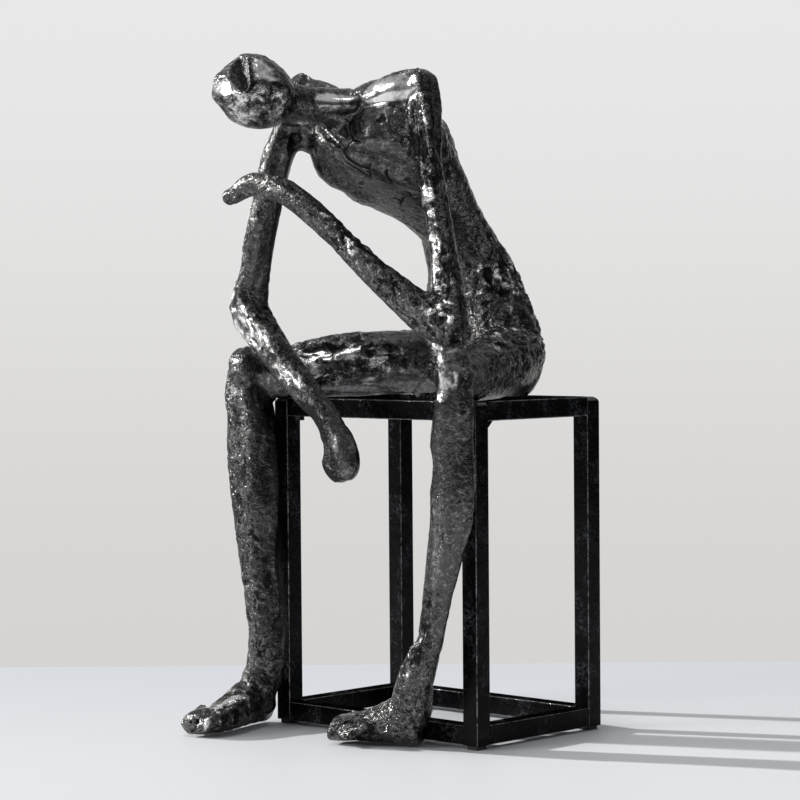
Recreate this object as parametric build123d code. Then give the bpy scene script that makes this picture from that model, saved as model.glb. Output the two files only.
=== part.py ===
"""Seated thinking figure on an open square-bar stool, in millimetres.

The figure faces -Y and its left side is +X. All places are worked out with
the stool centred on the Z axis and its pads on z = 0; the finished pieces are
then moved together, so that the origin is the bottom centre of the whole part.
"""
import os
from math import copysign, cos, pi, radians, sin

from build123d import *

# The stool: outer sizes, the square bar that it is welded from, and its pads.
stool_width = 123.0
stool_depth = 82.0
stool_height = 148.0
bar_width = 8.4
bar_edge_round = 0.6
stool_corner_round = 2.6
corner_weld_leg = 4.0
corner_weld_width = 6.0
pad_width = 6.4
pad_thickness = 1.8
pad_corner_round = 1.0

# The fasteners inside: screws up through the top rails, dowels in the castings.
screw_diameter = 3.0
screw_head_diameter = 5.6
screw_head_height = 1.9
screw_depth = 9.0
screw_clearance = 0.2
screw_tip_gap = 0.8
dowel_diameter = 3.6
dowel_length = 14.0
neck_dowel_length = 16.0
dowel_clearance = 0.1
dowel_end_gap = 0.4

# The trunk of the figure, from the seat face of the stool upwards.
torso_height = 140.0
shoulder_width = 64.0
chest_depth = 46.0
lean_reach = 68.0
pelvis_set_in = 13.0
chest_corner_power = 2.6
chest_ring_points = 24
left_shoulder_out = 32.0
left_shoulder_ahead = 2.5
left_shoulder_drop = 5.8
right_shoulder_out = 33.0
right_shoulder_ahead = 10.0
right_shoulder_drop = 5.0
collar_girth = 15.0
armpit_girth = 13.2
armpit_inboard = 20.0
armpit_ahead = 3.0
armpit_drop = 28.5
armpit_reach = 12.0
armpit_spread = 11.0
armpit_rise = 5.0

# The head and the neck that carries it forward.
neck_girth = 15.5
neck_ahead = 5.0
neck_turn = 4.0
neck_drop = 16.5
nape_ahead = 38.6
nape_turn = 11.4
nape_drop = 10.0
head_girth = 31.5
head_length = 32.6
head_turn = 8.7
head_lift = 4.6

# The legs: knees in front of the stool, hips over its rear rail.
hip_left_out = 20.0
hip_right_out = 16.0
hip_rise = 16.0
thigh_girth = 28.0
knee_rise = 11.0
knee_left_inset = 2.0
knee_right_overhang = 5.0
knee_girth = 18.0
knee_ball_set_back = 2.0
shin_girth = 20.0
shin_standoff = 2.0
ankle_height = 36.0
ankle_left_inset = 18.5
ankle_right_inset = 6.5

# The feet: they hang a little above the floor, because the stool carries all.
sole_gap = 1.4
left_foot_length = 41.0
left_foot_turn = 65.0
left_heel_inset = 23.5
left_heel_standoff = 7.5
right_foot_length = 52.0
right_foot_turn = 9.0
right_heel_inset = 0.5
right_heel_standoff = 3.5
foot_width = 20.0
foot_height = 20.0
heel_joint_share = 0.13
heel_joint_rise = 8.5
sole_flat_share = 0.08

# The arms: the left elbow stands on the left knee, the right one hangs clear.
upper_arm_girth = 13.0
forearm_girth = 13.0
right_arm_girth = 14.0
left_elbow_rise = 18.5
left_elbow_inset = 3.5
left_elbow_back = 4.5
left_elbow_girth = 14.6
left_fingertip_girth = 7.0
left_wrist_across = 5.0
left_wrist_ahead = 39.0
left_wrist_drop = 55.0
left_hand_reach = 39.0
left_hand_ahead = 4.0
left_hand_rise = 2.5
right_elbow_inset = 9.5
right_elbow_ahead = 7.0
right_elbow_rise = 30.0
right_elbow_girth = 16.2
right_wrist_across = 48.5
right_wrist_ahead = 2.0
right_wrist_drop = 48.0
right_hand_across = 13.5
right_hand_drop = 29.0

# Rows of the trunk: rise along torso_height, lean back from the shoulders
# along lean_reach, full width along shoulder_width, full depth along chest_depth.
torso_shares = (
    (0.000, 0.95, 0.82, 0.82),
    (0.055, 0.98, 0.96, 0.96),
    (0.130, 1.01, 1.00, 1.00),
    (0.215, 1.03, 0.96, 0.94),
    (0.305, 1.02, 0.83, 0.81),
    (0.395, 0.98, 0.69, 0.71),
    (0.470, 0.88, 0.61, 0.63),
    (0.550, 0.68, 0.65, 0.71),
    (0.630, 0.43, 0.81, 0.94),
    (0.707, 0.225, 0.95, 1.12),
    (0.786, 0.10, 1.00, 1.10),
    (0.857, 0.06, 1.00, 0.93),
    (0.915, 0.05, 0.96, 0.72),
    (0.945, 0.02, 0.85, 0.42),
)

# Rows of a round casting: place along its joints (1.0 is the second joint),
# then the offset in X, Y and Z, the width across and the thickness, all four
# counted in girths.
collar_left_shares = (
    (0.00, 0.00, 0.02, 0.02, 0.80, 0.80),
    (0.30, 0.00, -0.10, 0.12, 0.92, 0.92),
    (0.60, 0.00, -0.22, 0.15, 0.98, 0.98),
    (1.00, 0.00, -0.20, 0.06, 1.05, 1.05),
)
collar_right_shares = (
    (0.00, 0.00, 0.00, 0.06, 0.64, 0.64),
    (0.30, 0.00, 0.00, 0.08, 0.76, 0.76),
    (0.60, 0.00, 0.04, 0.08, 0.85, 0.85),
    (1.00, 0.00, 0.06, 0.08, 1.00, 1.00),
)
armpit_shares = (
    (0.00, 0.00, 0.00, 0.00, 1.00, 1.00),
    (0.45, -0.08, 0.12, 0.08, 1.00, 1.00),
    (1.00, 0.00, 0.00, 0.00, 1.00, 1.00),
)
neck_shares = (
    (0.00, 0.00, 0.00, 0.00, 1.32, 1.32),
    (0.33, 0.08, 0.00, 0.02, 1.20, 1.20),
    (0.72, 0.00, 0.00, 0.00, 0.98, 0.98),
    (1.10, 0.00, 0.00, 0.00, 1.00, 1.00),
)
head_shares = (
    (0.00, 0.00, 0.00, -0.04, 0.34, 0.32),
    (0.05, 0.00, 0.00, -0.04, 0.60, 0.56),
    (0.16, 0.00, 0.00, -0.03, 0.82, 0.79),
    (0.34, 0.00, 0.00, -0.01, 0.96, 0.96),
    (0.54, 0.00, 0.00, 0.01, 0.99, 1.01),
    (0.73, 0.00, 0.00, 0.02, 0.90, 0.92),
    (0.87, 0.00, 0.00, 0.02, 0.72, 0.72),
    (0.96, 0.00, 0.00, 0.02, 0.50, 0.48),
    (1.00, 0.00, 0.00, 0.02, 0.28, 0.26),
)
thigh_left_shares = (
    (-0.05, 0.07, 0.02, 0.10, 0.97, 0.97),
    (0.11, 0.07, 0.03, 0.06, 1.08, 0.98),
    (0.37, 0.05, 0.02, 0.01, 1.06, 0.92),
    (0.60, 0.03, 0.00, -0.03, 0.96, 0.82),
    (0.80, 0.01, 0.00, -0.04, 0.82, 0.72),
    (0.97, 0.00, 0.00, 0.00, 0.68, 0.64),
)
thigh_right_shares = (
    (-0.09, 0.13, -0.08, -0.02, 0.94, 0.94),
    (0.17, 0.16, -0.10, 0.02, 1.00, 0.98),
    (0.41, 0.14, -0.09, 0.03, 1.01, 0.97),
    (0.65, 0.07, -0.04, 0.00, 0.95, 0.91),
    (0.84, 0.02, 0.00, -0.04, 0.80, 0.78),
    (0.97, 0.00, 0.00, 0.00, 0.68, 0.68),
)
shin_left_shares = (
    (0.00, 0.00, 0.05, 0.00, 0.80, 0.80),
    (0.08, 0.16, 0.00, 0.00, 0.82, 0.82),
    (0.18, 0.19, 0.00, 0.00, 0.88, 0.88),
    (0.36, 0.32, 0.00, 0.00, 0.95, 0.95),
    (0.46, 0.37, 0.00, 0.00, 0.93, 0.93),
    (0.56, 0.35, 0.00, 0.00, 0.79, 0.79),
    (0.70, 0.26, 0.00, 0.00, 0.63, 0.63),
    (0.80, 0.18, 0.00, 0.00, 0.58, 0.58),
    (0.91, 0.09, -0.02, 0.00, 0.66, 0.66),
    (1.02, -0.02, -0.05, 0.00, 0.76, 0.76),
    (1.50, -0.04, -0.05, 0.00, 0.84, 0.84),
    (2.00, 0.00, 0.00, 0.00, 0.70, 0.70),
)
shin_right_shares = (
    (0.00, 0.00, 0.05, 0.00, 0.90, 0.90),
    (0.06, -0.02, 0.02, 0.00, 0.97, 0.97),
    (0.17, 0.05, 0.00, 0.00, 1.07, 1.00),
    (0.32, 0.05, 0.00, 0.00, 1.13, 1.02),
    (0.46, 0.08, 0.00, 0.00, 1.07, 0.97),
    (0.58, 0.09, 0.00, 0.00, 0.95, 0.88),
    (0.75, 0.14, 0.00, 0.00, 0.80, 0.76),
    (0.89, 0.16, 0.00, 0.00, 0.73, 0.71),
    (1.02, 0.11, 0.00, 0.00, 0.72, 0.70),
    (1.50, 0.05, 0.00, 0.00, 0.74, 0.74),
    (2.00, 0.00, 0.00, 0.00, 0.68, 0.68),
)
upper_arm_left_shares = (
    (0.00, 0.00, 0.02, 0.00, 0.92, 0.92),
    (0.09, 0.00, 0.04, 0.00, 0.96, 0.96),
    (0.17, -0.03, 0.00, 0.00, 0.92, 0.92),
    (0.31, 0.01, -0.05, 0.00, 0.82, 0.82),
    (0.46, 0.04, -0.02, 0.00, 0.80, 0.80),
    (0.66, 0.02, 0.06, 0.00, 0.86, 0.86),
    (0.79, 0.04, 0.02, 0.00, 1.00, 1.00),
    (0.91, 0.02, -0.02, 0.00, 1.09, 1.09),
    (1.00, 0.00, 0.00, 0.00, 1.00, 1.00),
)
forearm_left_shares = (
    (0.00, 0.00, 0.00, 0.00, 1.00, 1.00),
    (0.06, -0.06, -0.03, -0.09, 1.13, 1.13),
    (0.21, -0.10, 0.00, -0.14, 1.14, 1.12),
    (0.41, -0.06, -0.05, -0.13, 0.96, 0.94),
    (0.67, 0.00, -0.04, -0.05, 0.78, 0.78),
    (0.87, 0.04, 0.00, 0.03, 0.79, 0.79),
    (1.00, 0.00, 0.00, 0.06, 0.82, 0.80),
    (1.30, 0.06, -0.14, 0.45, 0.83, 0.56),
    (1.59, 0.06, -0.13, 0.48, 0.80, 0.54),
    (1.81, 0.03, -0.06, 0.25, 0.68, 0.55),
    (1.96, 0.00, 0.00, 0.03, 0.56, 0.50),
)
upper_arm_right_shares = (
    (0.00, 0.00, 0.00, 0.02, 0.90, 0.90),
    (0.09, 0.16, -0.22, 0.00, 1.00, 1.00),
    (0.19, 0.25, -0.38, 0.00, 0.98, 0.98),
    (0.30, 0.22, -0.48, 0.00, 0.97, 0.97),
    (0.42, 0.19, -0.50, 0.00, 0.96, 0.96),
    (0.57, 0.18, -0.48, 0.00, 0.98, 0.98),
    (0.73, 0.11, -0.36, 0.00, 0.98, 0.98),
    (0.88, 0.04, -0.16, 0.00, 1.05, 1.05),
    (1.00, 0.00, 0.00, 0.00, 1.12, 1.12),
)
forearm_right_shares = (
    (0.00, 0.00, 0.00, 0.00, 1.12, 1.12),
    (0.14, -0.05, -0.05, -0.05, 1.12, 1.12),
    (0.32, -0.05, -0.08, -0.05, 1.04, 1.04),
    (0.60, -0.03, -0.05, -0.03, 0.95, 0.95),
    (0.83, 0.00, 0.00, 0.00, 0.82, 0.82),
    (1.00, 0.00, 0.00, 0.00, 0.79, 0.76),
    (1.35, 0.11, 0.00, 0.05, 1.10, 0.66),
    (1.63, 0.12, 0.00, 0.05, 1.42, 0.62),
    (1.82, 0.06, 0.00, 0.03, 1.28, 0.54),
    (1.95, 0.00, 0.00, 0.00, 0.74, 0.38),
)

# Rows of a foot: place along its length, then, counted in foot_width, the bow
# to its inner side and its width, and its height counted in foot_height.
foot_shares = (
    (0.00, 0.00, 0.56, 0.60),
    (0.09, 0.00, 0.74, 0.95),
    (0.25, 0.03, 0.82, 1.06),
    (0.44, 0.09, 0.86, 0.88),
    (0.63, 0.14, 0.95, 0.70),
    (0.80, 0.14, 1.00, 0.60),
    (0.92, 0.09, 0.92, 0.55),
    (0.98, 0.03, 0.76, 0.46),
    (1.00, 0.00, 0.56, 0.32),
)

# Faces and edges of the stool that the figure is placed from.
half_width = stool_width / 2
half_depth = stool_depth / 2
front_y = -half_depth
rail_under = stool_height - bar_width
rail_line_x = half_width - bar_width / 2
rail_line_y = half_depth - bar_width / 2
pelvis_y = half_depth - pelvis_set_in
shoulder_y = pelvis_y - lean_reach
shoulder_z = stool_height + torso_height
knee_y = front_y - shin_standoff - shin_girth / 2
knee_z = stool_height + knee_rise

# Joints of the figure, each worked out from the one that carries it.
neck_base = Vector(-neck_turn, shoulder_y - neck_ahead, shoulder_z - neck_drop)
nape = Vector(-nape_turn, shoulder_y - nape_ahead, shoulder_z - nape_drop)
crown = nape + Vector(-head_turn, -head_length, head_lift)
shoulder_left = Vector(
    left_shoulder_out,
    shoulder_y - left_shoulder_ahead,
    shoulder_z - left_shoulder_drop,
)
shoulder_right = Vector(
    -right_shoulder_out,
    shoulder_y - right_shoulder_ahead,
    shoulder_z - right_shoulder_drop,
)
hip_left = Vector(hip_left_out, pelvis_y, stool_height + hip_rise)
hip_right = Vector(-hip_right_out, pelvis_y, stool_height + hip_rise)
knee_left = Vector(half_width - knee_left_inset, knee_y, knee_z)
knee_right = Vector(-half_width - knee_right_overhang, knee_y, knee_z)
ankle_left = Vector(knee_left.X - ankle_left_inset, knee_y, ankle_height)
ankle_right = Vector(knee_right.X + ankle_right_inset, knee_y, ankle_height)
heel_left = Vector(knee_left.X - left_heel_inset, front_y - left_heel_standoff, sole_gap)
heel_right = Vector(knee_right.X + right_heel_inset, front_y - right_heel_standoff, sole_gap)
elbow_left = knee_left + Vector(-left_elbow_inset, left_elbow_back, left_elbow_rise)
wrist_left = Vector(
    -left_wrist_across,
    shoulder_y - left_wrist_ahead,
    shoulder_z - left_wrist_drop,
)
fingers_left = wrist_left + Vector(-left_hand_reach, -left_hand_ahead, left_hand_rise)
elbow_right = knee_right + Vector(right_elbow_inset, -right_elbow_ahead, right_elbow_rise)
wrist_right = elbow_right + Vector(right_wrist_across, -right_wrist_ahead, -right_wrist_drop)
fingers_right = wrist_right + Vector(right_hand_across, 0, -right_hand_drop)
armpit_chest = Vector(-armpit_inboard, shoulder_y - armpit_ahead, shoulder_z - armpit_drop)
armpit_arm = armpit_chest + Vector(-armpit_spread, -armpit_reach, armpit_rise)

across_x = Vector(1, 0, 0)
across_z = Vector(0, 0, 1)


def block(low, high):
    """Give the box between two opposite corners."""
    size = high - low
    box = Box(size.X, size.Y, size.Z, align=(Align.MIN, Align.MIN, Align.MIN))
    return Pos(low.X, low.Y, low.Z) * box


def along_joints(joints, share):
    """Give the point at a share counted in joint-to-joint steps."""
    step = min(max(int(share), 0), len(joints) - 2)
    return joints[step] + (joints[step + 1] - joints[step]) * (share - step)


def ring_planes(points, across):
    """Give a plane at each point, square to the way the points run."""
    planes = []
    last = len(points) - 1
    for index, point in enumerate(points):
        run = points[min(index + 1, last)] - points[max(index - 1, 0)]
        square_across = across - run * (across.dot(run) / run.dot(run))
        planes.append(Plane(origin=point, x_dir=square_across, z_dir=run))
    return planes


def round_casting(joints, shares, girth, across):
    """Loft ellipses along a chain of joints, as a table of shares says."""
    points = []
    for share, off_x, off_y, off_z, _, _ in shares:
        points.append(along_joints(joints, share) + Vector(off_x, off_y, off_z) * girth)
    rings = []
    for plane, row in zip(ring_planes(points, across), shares):
        rings.append(plane * Ellipse(row[4] * girth / 2, row[5] * girth / 2))
    return loft(rings)


def ball(centre, girth):
    """Give the rounded end of a limb."""
    return Pos(centre.X, centre.Y, centre.Z) * Sphere(girth / 2)


def square_ring(centre, width, depth):
    """Give a level, rounded-square face round the trunk."""
    points = []
    for index in range(chest_ring_points):
        angle = 2 * pi * index / chest_ring_points
        reach_x = copysign(abs(cos(angle)) ** (2 / chest_corner_power), cos(angle))
        reach_y = copysign(abs(sin(angle)) ** (2 / chest_corner_power), sin(angle))
        points.append(centre + Vector(width / 2 * reach_x, depth / 2 * reach_y, 0))
    return make_face(Spline(*points, periodic=True))


def make_trunk():
    """Loft the pelvis, waist and chest, and add the collars and the armpit fold."""
    rings = []
    for rise, lean, width, depth in torso_shares:
        centre = Vector(0, shoulder_y + lean * lean_reach, stool_height + rise * torso_height)
        rings.append(square_ring(centre, width * shoulder_width, depth * chest_depth))
    trunk = loft(rings)
    trunk += round_casting((shoulder_left, neck_base), collar_left_shares, collar_girth, across_z)
    trunk += round_casting((shoulder_right, neck_base), collar_right_shares, collar_girth, across_z)
    trunk += round_casting((armpit_chest, armpit_arm), armpit_shares, armpit_girth, across_z)
    return trunk


def make_head():
    """Loft the neck and the plain egg-shaped head."""
    neck = round_casting((neck_base, nape), neck_shares, neck_girth, across_z)
    return neck + round_casting((nape, crown), head_shares, head_girth, across_z)


def make_foot(heel, length, turn, inner_side):
    """Loft a flat-soled foot from its heel to its toes."""
    ahead = Vector(-inner_side * sin(radians(turn)), -cos(radians(turn)), 0)
    inward = Vector(-inner_side * cos(radians(turn)), sin(radians(turn)), 0)
    rings = []
    for share, bow, width, height in foot_shares:
        tall = height * foot_height
        lift = Vector(0, 0, tall * (1 - sole_flat_share) / 2)
        centre = heel + ahead * (share * length) + inward * (bow * foot_width) + lift
        plane = Plane(origin=centre, x_dir=inward, z_dir=ahead)
        rings.append(plane * Ellipse(width * foot_width / 2, tall / 2))
    foot = loft(rings)
    reach = length + foot_width + foot_height
    under = block(
        Vector(heel.X - reach, heel.Y - reach, heel.Z - foot_height),
        Vector(heel.X + reach, heel.Y + reach, heel.Z),
    )
    return foot - under, heel + ahead * (length * heel_joint_share) + Vector(0, 0, heel_joint_rise)


def make_leg(hip, knee, ankle, heel, foot_length, foot_turn, inner_side, thigh_shares, shin_shares):
    """Join a thigh that lies flat on the seat, a knee, a shin and a foot."""
    foot, heel_joint = make_foot(heel, foot_length, foot_turn, inner_side)
    thigh = round_casting((hip, knee), thigh_shares, thigh_girth, across_z)
    reach = stool_width + stool_depth
    thigh -= block(
        Vector(hip.X - reach, front_y, stool_height - thigh_girth),
        Vector(hip.X + reach, hip.Y + reach, stool_height),
    )
    shin = round_casting((knee, ankle, heel_joint), shin_shares, shin_girth, across_x)
    cap = ball(knee + Vector(0, knee_ball_set_back, 0), knee_girth)
    return thigh + cap + shin + foot


def make_left_arm():
    """Join an upper arm, a sharply bent elbow, a forearm and a flat hand."""
    upper = round_casting((shoulder_left, elbow_left), upper_arm_left_shares, upper_arm_girth, across_x)
    joints = (elbow_left, wrist_left, fingers_left)
    lower = round_casting(joints, forearm_left_shares, forearm_girth, across_z)
    shoulder = ball(shoulder_left, upper_arm_girth)
    fingertip = ball(fingers_left, left_fingertip_girth)
    return upper + lower + ball(elbow_left, left_elbow_girth) + shoulder + fingertip


def make_right_arm():
    """Join an upper arm, a slightly bent elbow, a forearm and an open hand."""
    upper = round_casting((shoulder_right, elbow_right), upper_arm_right_shares, right_arm_girth, across_x)
    joints = (elbow_right, wrist_right, fingers_right)
    lower = round_casting(joints, forearm_right_shares, right_arm_girth, across_x)
    elbow = ball(elbow_right, right_elbow_girth)
    return upper + lower + elbow + ball(shoulder_right, right_arm_girth)


def rod(centre, direction, diameter, length):
    """Give a round rod that is centred on a point."""
    return Plane(origin=centre, z_dir=direction) * Cylinder(diameter / 2, length)


def main_solid(shape):
    """Keep the largest solid of a shape, without the chips that a cut leaves."""
    return max(shape.solids(), key=lambda solid: solid.volume)


def make_posts():
    """Make the four upright bars, with their top corners rounded outwards."""
    posts = {}
    for side_name, side in (("left", 1), ("right", -1)):
        for end_name, end in (("front", -1), ("rear", 1)):
            x_low, x_high = sorted((side * half_width, side * (half_width - bar_width)))
            y_low, y_high = sorted((end * half_depth, end * (half_depth - bar_width)))
            post = block(Vector(x_low, y_low, pad_thickness), Vector(x_high, y_high, stool_height))
            top = post.faces().sort_by(Axis.Z)[-1]
            outer = [
                top.edges().filter_by(Axis.Y).sort_by(Axis.X)[-1 if side > 0 else 0],
                top.edges().filter_by(Axis.X).sort_by(Axis.Y)[-1 if end > 0 else 0],
            ]
            post = fillet(outer, min(stool_corner_round, bar_width / 3))
            uprights = post.edges().filter_by(Axis.Z)
            post = fillet(uprights, min(bar_edge_round, bar_width / 4))
            posts[f"stool_post_{end_name}_{side_name}"] = post
    return posts


def make_rail(low, high, axis):
    """Make one bar between two posts, with its long edges eased."""
    rail = block(low, high)
    return fillet(rail.edges().filter_by(axis), min(bar_edge_round, bar_width / 4))


def make_rails():
    """Make the top and bottom bars, and the weld in the near top corner."""
    rails = {}
    span_x = half_width - bar_width
    span_y = half_depth - bar_width
    for level, z_low in (("top", rail_under), ("bottom", pad_thickness)):
        z_high = z_low + bar_width
        for end_name, end in (("front", -1), ("rear", 1)):
            y_low, y_high = sorted((end * half_depth, end * (half_depth - bar_width)))
            rails[f"stool_{level}_rail_{end_name}"] = make_rail(
                Vector(-span_x, y_low, z_low), Vector(span_x, y_high, z_high), Axis.X
            )
        for side_name, side in (("left", 1), ("right", -1)):
            x_low, x_high = sorted((side * half_width, side * (half_width - bar_width)))
            rails[f"stool_{level}_rail_{side_name}"] = make_rail(
                Vector(x_low, -span_y, z_low), Vector(x_high, span_y, z_high), Axis.Y
            )
    corner = Vector(rail_line_x, -span_y, rail_under)
    outline = Polyline(
        corner,
        corner + Vector(0, corner_weld_leg, 0),
        corner - Vector(0, 0, corner_weld_leg),
        close=True,
    )
    weld = extrude(make_face(outline), corner_weld_width / 2, dir=(1, 0, 0), both=True)
    rails["stool_top_rail_left"] += weld
    return rails


def make_pads():
    """Make the four small pads under the posts."""
    pads = {}
    for side_name, side in (("left", 1), ("right", -1)):
        for end_name, end in (("front", -1), ("rear", 1)):
            pad = Box(pad_width, pad_width, pad_thickness, align=(Align.CENTER, Align.CENTER, Align.MIN))
            pad = fillet(pad.edges().filter_by(Axis.Z), min(pad_corner_round, pad_width / 3))
            pads[f"foot_pad_{end_name}_{side_name}"] = Pos(side * rail_line_x, end * rail_line_y, 0) * pad
    return pads


def screw_places():
    """Give the place of each seat screw, where a casting lies on a rail."""
    places = {}
    for side_name, hip, knee in (("left", hip_left, knee_left), ("right", hip_right, knee_right)):
        places[f"seat_screw_rear_{side_name}"] = Vector(hip.X, rail_line_y, rail_under)
        share = (-rail_line_y - hip.Y) / (knee.Y - hip.Y)
        thigh_x = hip.X + (knee.X - hip.X) * share
        bound_x = half_width - bar_width - screw_head_diameter / 2
        places[f"seat_screw_front_{side_name}"] = Vector(
            min(max(thigh_x, -bound_x), bound_x), -rail_line_y, rail_under
        )
    return places


def make_screw(place):
    """Make a round-headed screw that points up, with its head under the rail."""
    head = Cylinder(
        screw_head_diameter / 2,
        screw_head_height,
        align=(Align.CENTER, Align.CENTER, Align.MAX),
    )
    length = bar_width + screw_depth
    shank = Cylinder(screw_diameter / 2, length, align=(Align.CENTER, Align.CENTER, Align.MIN))
    return Pos(place.X, place.Y, place.Z) * (head + shank)


def screw_hole(place):
    """Give the clear hole for one seat screw."""
    length = bar_width + screw_depth + screw_tip_gap
    hole = Cylinder(
        screw_diameter / 2 + screw_clearance,
        length,
        align=(Align.CENTER, Align.CENTER, Align.MIN),
    )
    return Pos(place.X, place.Y, place.Z) * hole


def dowel_places():
    """Give the centre, direction and length of each hidden dowel."""
    neck_run = nape - neck_base
    left_run = neck_base - shoulder_left
    right_run = neck_base - shoulder_right
    thigh_left_run = knee_left - hip_left
    thigh_right_run = knee_right - hip_right
    half_hip = shoulder_width / 2
    return {
        "neck_dowel": (neck_base + neck_run.normalized() * (neck_girth / 2), neck_run, neck_dowel_length),
        "shoulder_dowel_left": (
            shoulder_left + left_run.normalized() * (upper_arm_girth / 2),
            left_run,
            dowel_length,
        ),
        "shoulder_dowel_right": (
            shoulder_right + right_run.normalized() * (right_arm_girth / 2),
            right_run,
            dowel_length,
        ),
        "hip_dowel_left": (
            hip_left + thigh_left_run.normalized() * half_hip,
            thigh_left_run,
            dowel_length,
        ),
        "hip_dowel_right": (
            hip_right + thigh_right_run.normalized() * half_hip,
            thigh_right_run,
            dowel_length,
        ),
    }


def make_parts():
    """Make every piece in place, with the stool centred and its pads on z = 0."""
    parts = {}
    parts.update(make_posts())
    parts.update(make_rails())
    parts.update(make_pads())

    torso = make_trunk()
    head = make_head()
    leg_left = make_leg(
        hip_left, knee_left, ankle_left, heel_left,
        left_foot_length, left_foot_turn, 1, thigh_left_shares, shin_left_shares,
    )
    leg_right = make_leg(
        hip_right, knee_right, ankle_right, heel_right,
        right_foot_length, right_foot_turn, -1, thigh_right_shares, shin_right_shares,
    )
    arm_left = make_left_arm() - leg_left
    arm_right = make_right_arm() - leg_right
    arm_left -= arm_right
    torso -= arm_left + arm_right
    leg_left -= torso
    leg_right -= torso
    leg_right -= leg_left
    head -= torso + arm_left + arm_right
    castings = {
        "torso": main_solid(torso),
        "head": main_solid(head),
        "arm_left": main_solid(arm_left),
        "arm_right": main_solid(arm_right),
        "leg_left": main_solid(leg_left),
        "leg_right": main_solid(leg_right),
    }

    dowel_pairs = {
        "neck_dowel": ("torso", "head"),
        "shoulder_dowel_left": ("torso", "arm_left"),
        "shoulder_dowel_right": ("torso", "arm_right"),
        "hip_dowel_left": ("torso", "leg_left"),
        "hip_dowel_right": ("torso", "leg_right"),
    }
    for name, (centre, direction, length) in dowel_places().items():
        parts[name] = rod(centre, direction, dowel_diameter, length)
        hole = rod(centre, direction, dowel_diameter + 2 * dowel_clearance, length + 2 * dowel_end_gap)
        for casting in dowel_pairs[name]:
            castings[casting] -= hole

    screw_pairs = {
        "seat_screw_rear_left": ("torso", "stool_top_rail_rear"),
        "seat_screw_rear_right": ("torso", "stool_top_rail_rear"),
        "seat_screw_front_left": ("leg_left", "stool_top_rail_front"),
        "seat_screw_front_right": ("leg_right", "stool_top_rail_front"),
    }
    for name, place in screw_places().items():
        casting, rail = screw_pairs[name]
        castings[casting] -= screw_hole(place)
        parts[rail] -= screw_hole(place)
        parts[name] = make_screw(place)
    parts.update(castings)
    return parts


def main():
    """Move the origin to the bottom centre, and write one STEP file per piece."""
    parts = make_parts()
    boxes = [part.bounding_box() for part in parts.values()]
    low_x = min(box.min.X for box in boxes)
    high_x = max(box.max.X for box in boxes)
    low_y = min(box.min.Y for box in boxes)
    high_y = max(box.max.Y for box in boxes)
    low_z = min(box.min.Z for box in boxes)
    shift = Pos(-(low_x + high_x) / 2, -(low_y + high_y) / 2, -low_z)
    os.makedirs("parts", exist_ok=True)
    for name, part in parts.items():
        export_step(shift * part, f"parts/{name}.step")


main()
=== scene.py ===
"""Looks of a seated figure in dark cast metal on an open stool of black square bar.

The castings get one continuous skin, worked out as a level set from the solids and
shared out again among them. The stool's bars keep their solids and get a gloss paint.
All lengths are metres in the frame of the solids, unless a name ends in _mm. Places
in millimetres count from the floor point under the middle of the stool's posts.
"""
import logging
from dataclasses import dataclass
from enum import Enum
from functools import cache
from itertools import product
from math import radians

import bpy
import numpy as np
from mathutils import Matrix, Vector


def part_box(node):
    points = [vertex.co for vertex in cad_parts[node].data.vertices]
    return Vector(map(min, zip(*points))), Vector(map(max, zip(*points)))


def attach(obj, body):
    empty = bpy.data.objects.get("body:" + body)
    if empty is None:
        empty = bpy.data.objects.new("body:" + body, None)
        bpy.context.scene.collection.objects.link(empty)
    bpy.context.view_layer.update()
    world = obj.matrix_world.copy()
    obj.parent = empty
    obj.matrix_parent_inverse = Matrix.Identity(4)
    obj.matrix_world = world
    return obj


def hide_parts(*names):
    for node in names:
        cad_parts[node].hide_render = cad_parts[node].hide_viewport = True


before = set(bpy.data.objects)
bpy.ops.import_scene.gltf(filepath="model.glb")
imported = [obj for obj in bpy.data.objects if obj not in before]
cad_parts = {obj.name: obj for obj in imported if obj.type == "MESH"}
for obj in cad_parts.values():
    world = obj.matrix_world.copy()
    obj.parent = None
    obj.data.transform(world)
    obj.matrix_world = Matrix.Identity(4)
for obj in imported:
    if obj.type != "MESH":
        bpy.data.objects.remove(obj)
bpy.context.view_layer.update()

import openvdb
from mathutils import Matrix, Vector

log = logging.getLogger("seated_figure")
logging.basicConfig(level=logging.INFO, format="%(message)s")

Place = tuple[float, float, float]
Stop = tuple[float, float, float, float]
Colour = tuple[float, float, float, float]
Range = tuple[float, float]
Socket = bpy.types.NodeSocket
Given = Socket | float | Colour

MM = 0.001
TINY = 1e-12
TABLE_LENGTH = 8191
CELL_PRIMES = (73856093, 19349663, 83492791)
SEED_PRIME = 2654435761


class Casting(Enum):
    """The six castings of the figure, by the name of their solid."""

    TORSO = "torso"
    HEAD = "head"
    ARM_LEFT = "arm_left"
    ARM_RIGHT = "arm_right"
    LEG_LEFT = "leg_left"
    LEG_RIGHT = "leg_right"


class Touch(Enum):
    """How a worked form meets the skin: laid on, pressed in or filed flat."""

    SWELL = "swell"
    HOLLOW = "hollow"
    FILED = "filed"


@cache
def stool_centre() -> np.ndarray:
    """Give the floor point under the middle of the four posts."""
    posts = [f"stool_post_{end}_{side}" for end in ("front", "rear") for side in ("left", "right")]
    corners = np.array([tuple(corner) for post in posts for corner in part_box(post)])
    middle = (corners.min(0) + corners.max(0)) / 2
    return np.array([middle[0], middle[1], 0.0])


def spot(x_mm: float, y_mm: float, z_mm: float) -> np.ndarray:
    """Turn a place in millimetres from the stool's centre into the frame's metres."""
    return stool_centre() + np.array([x_mm, y_mm, z_mm]) * MM


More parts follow.
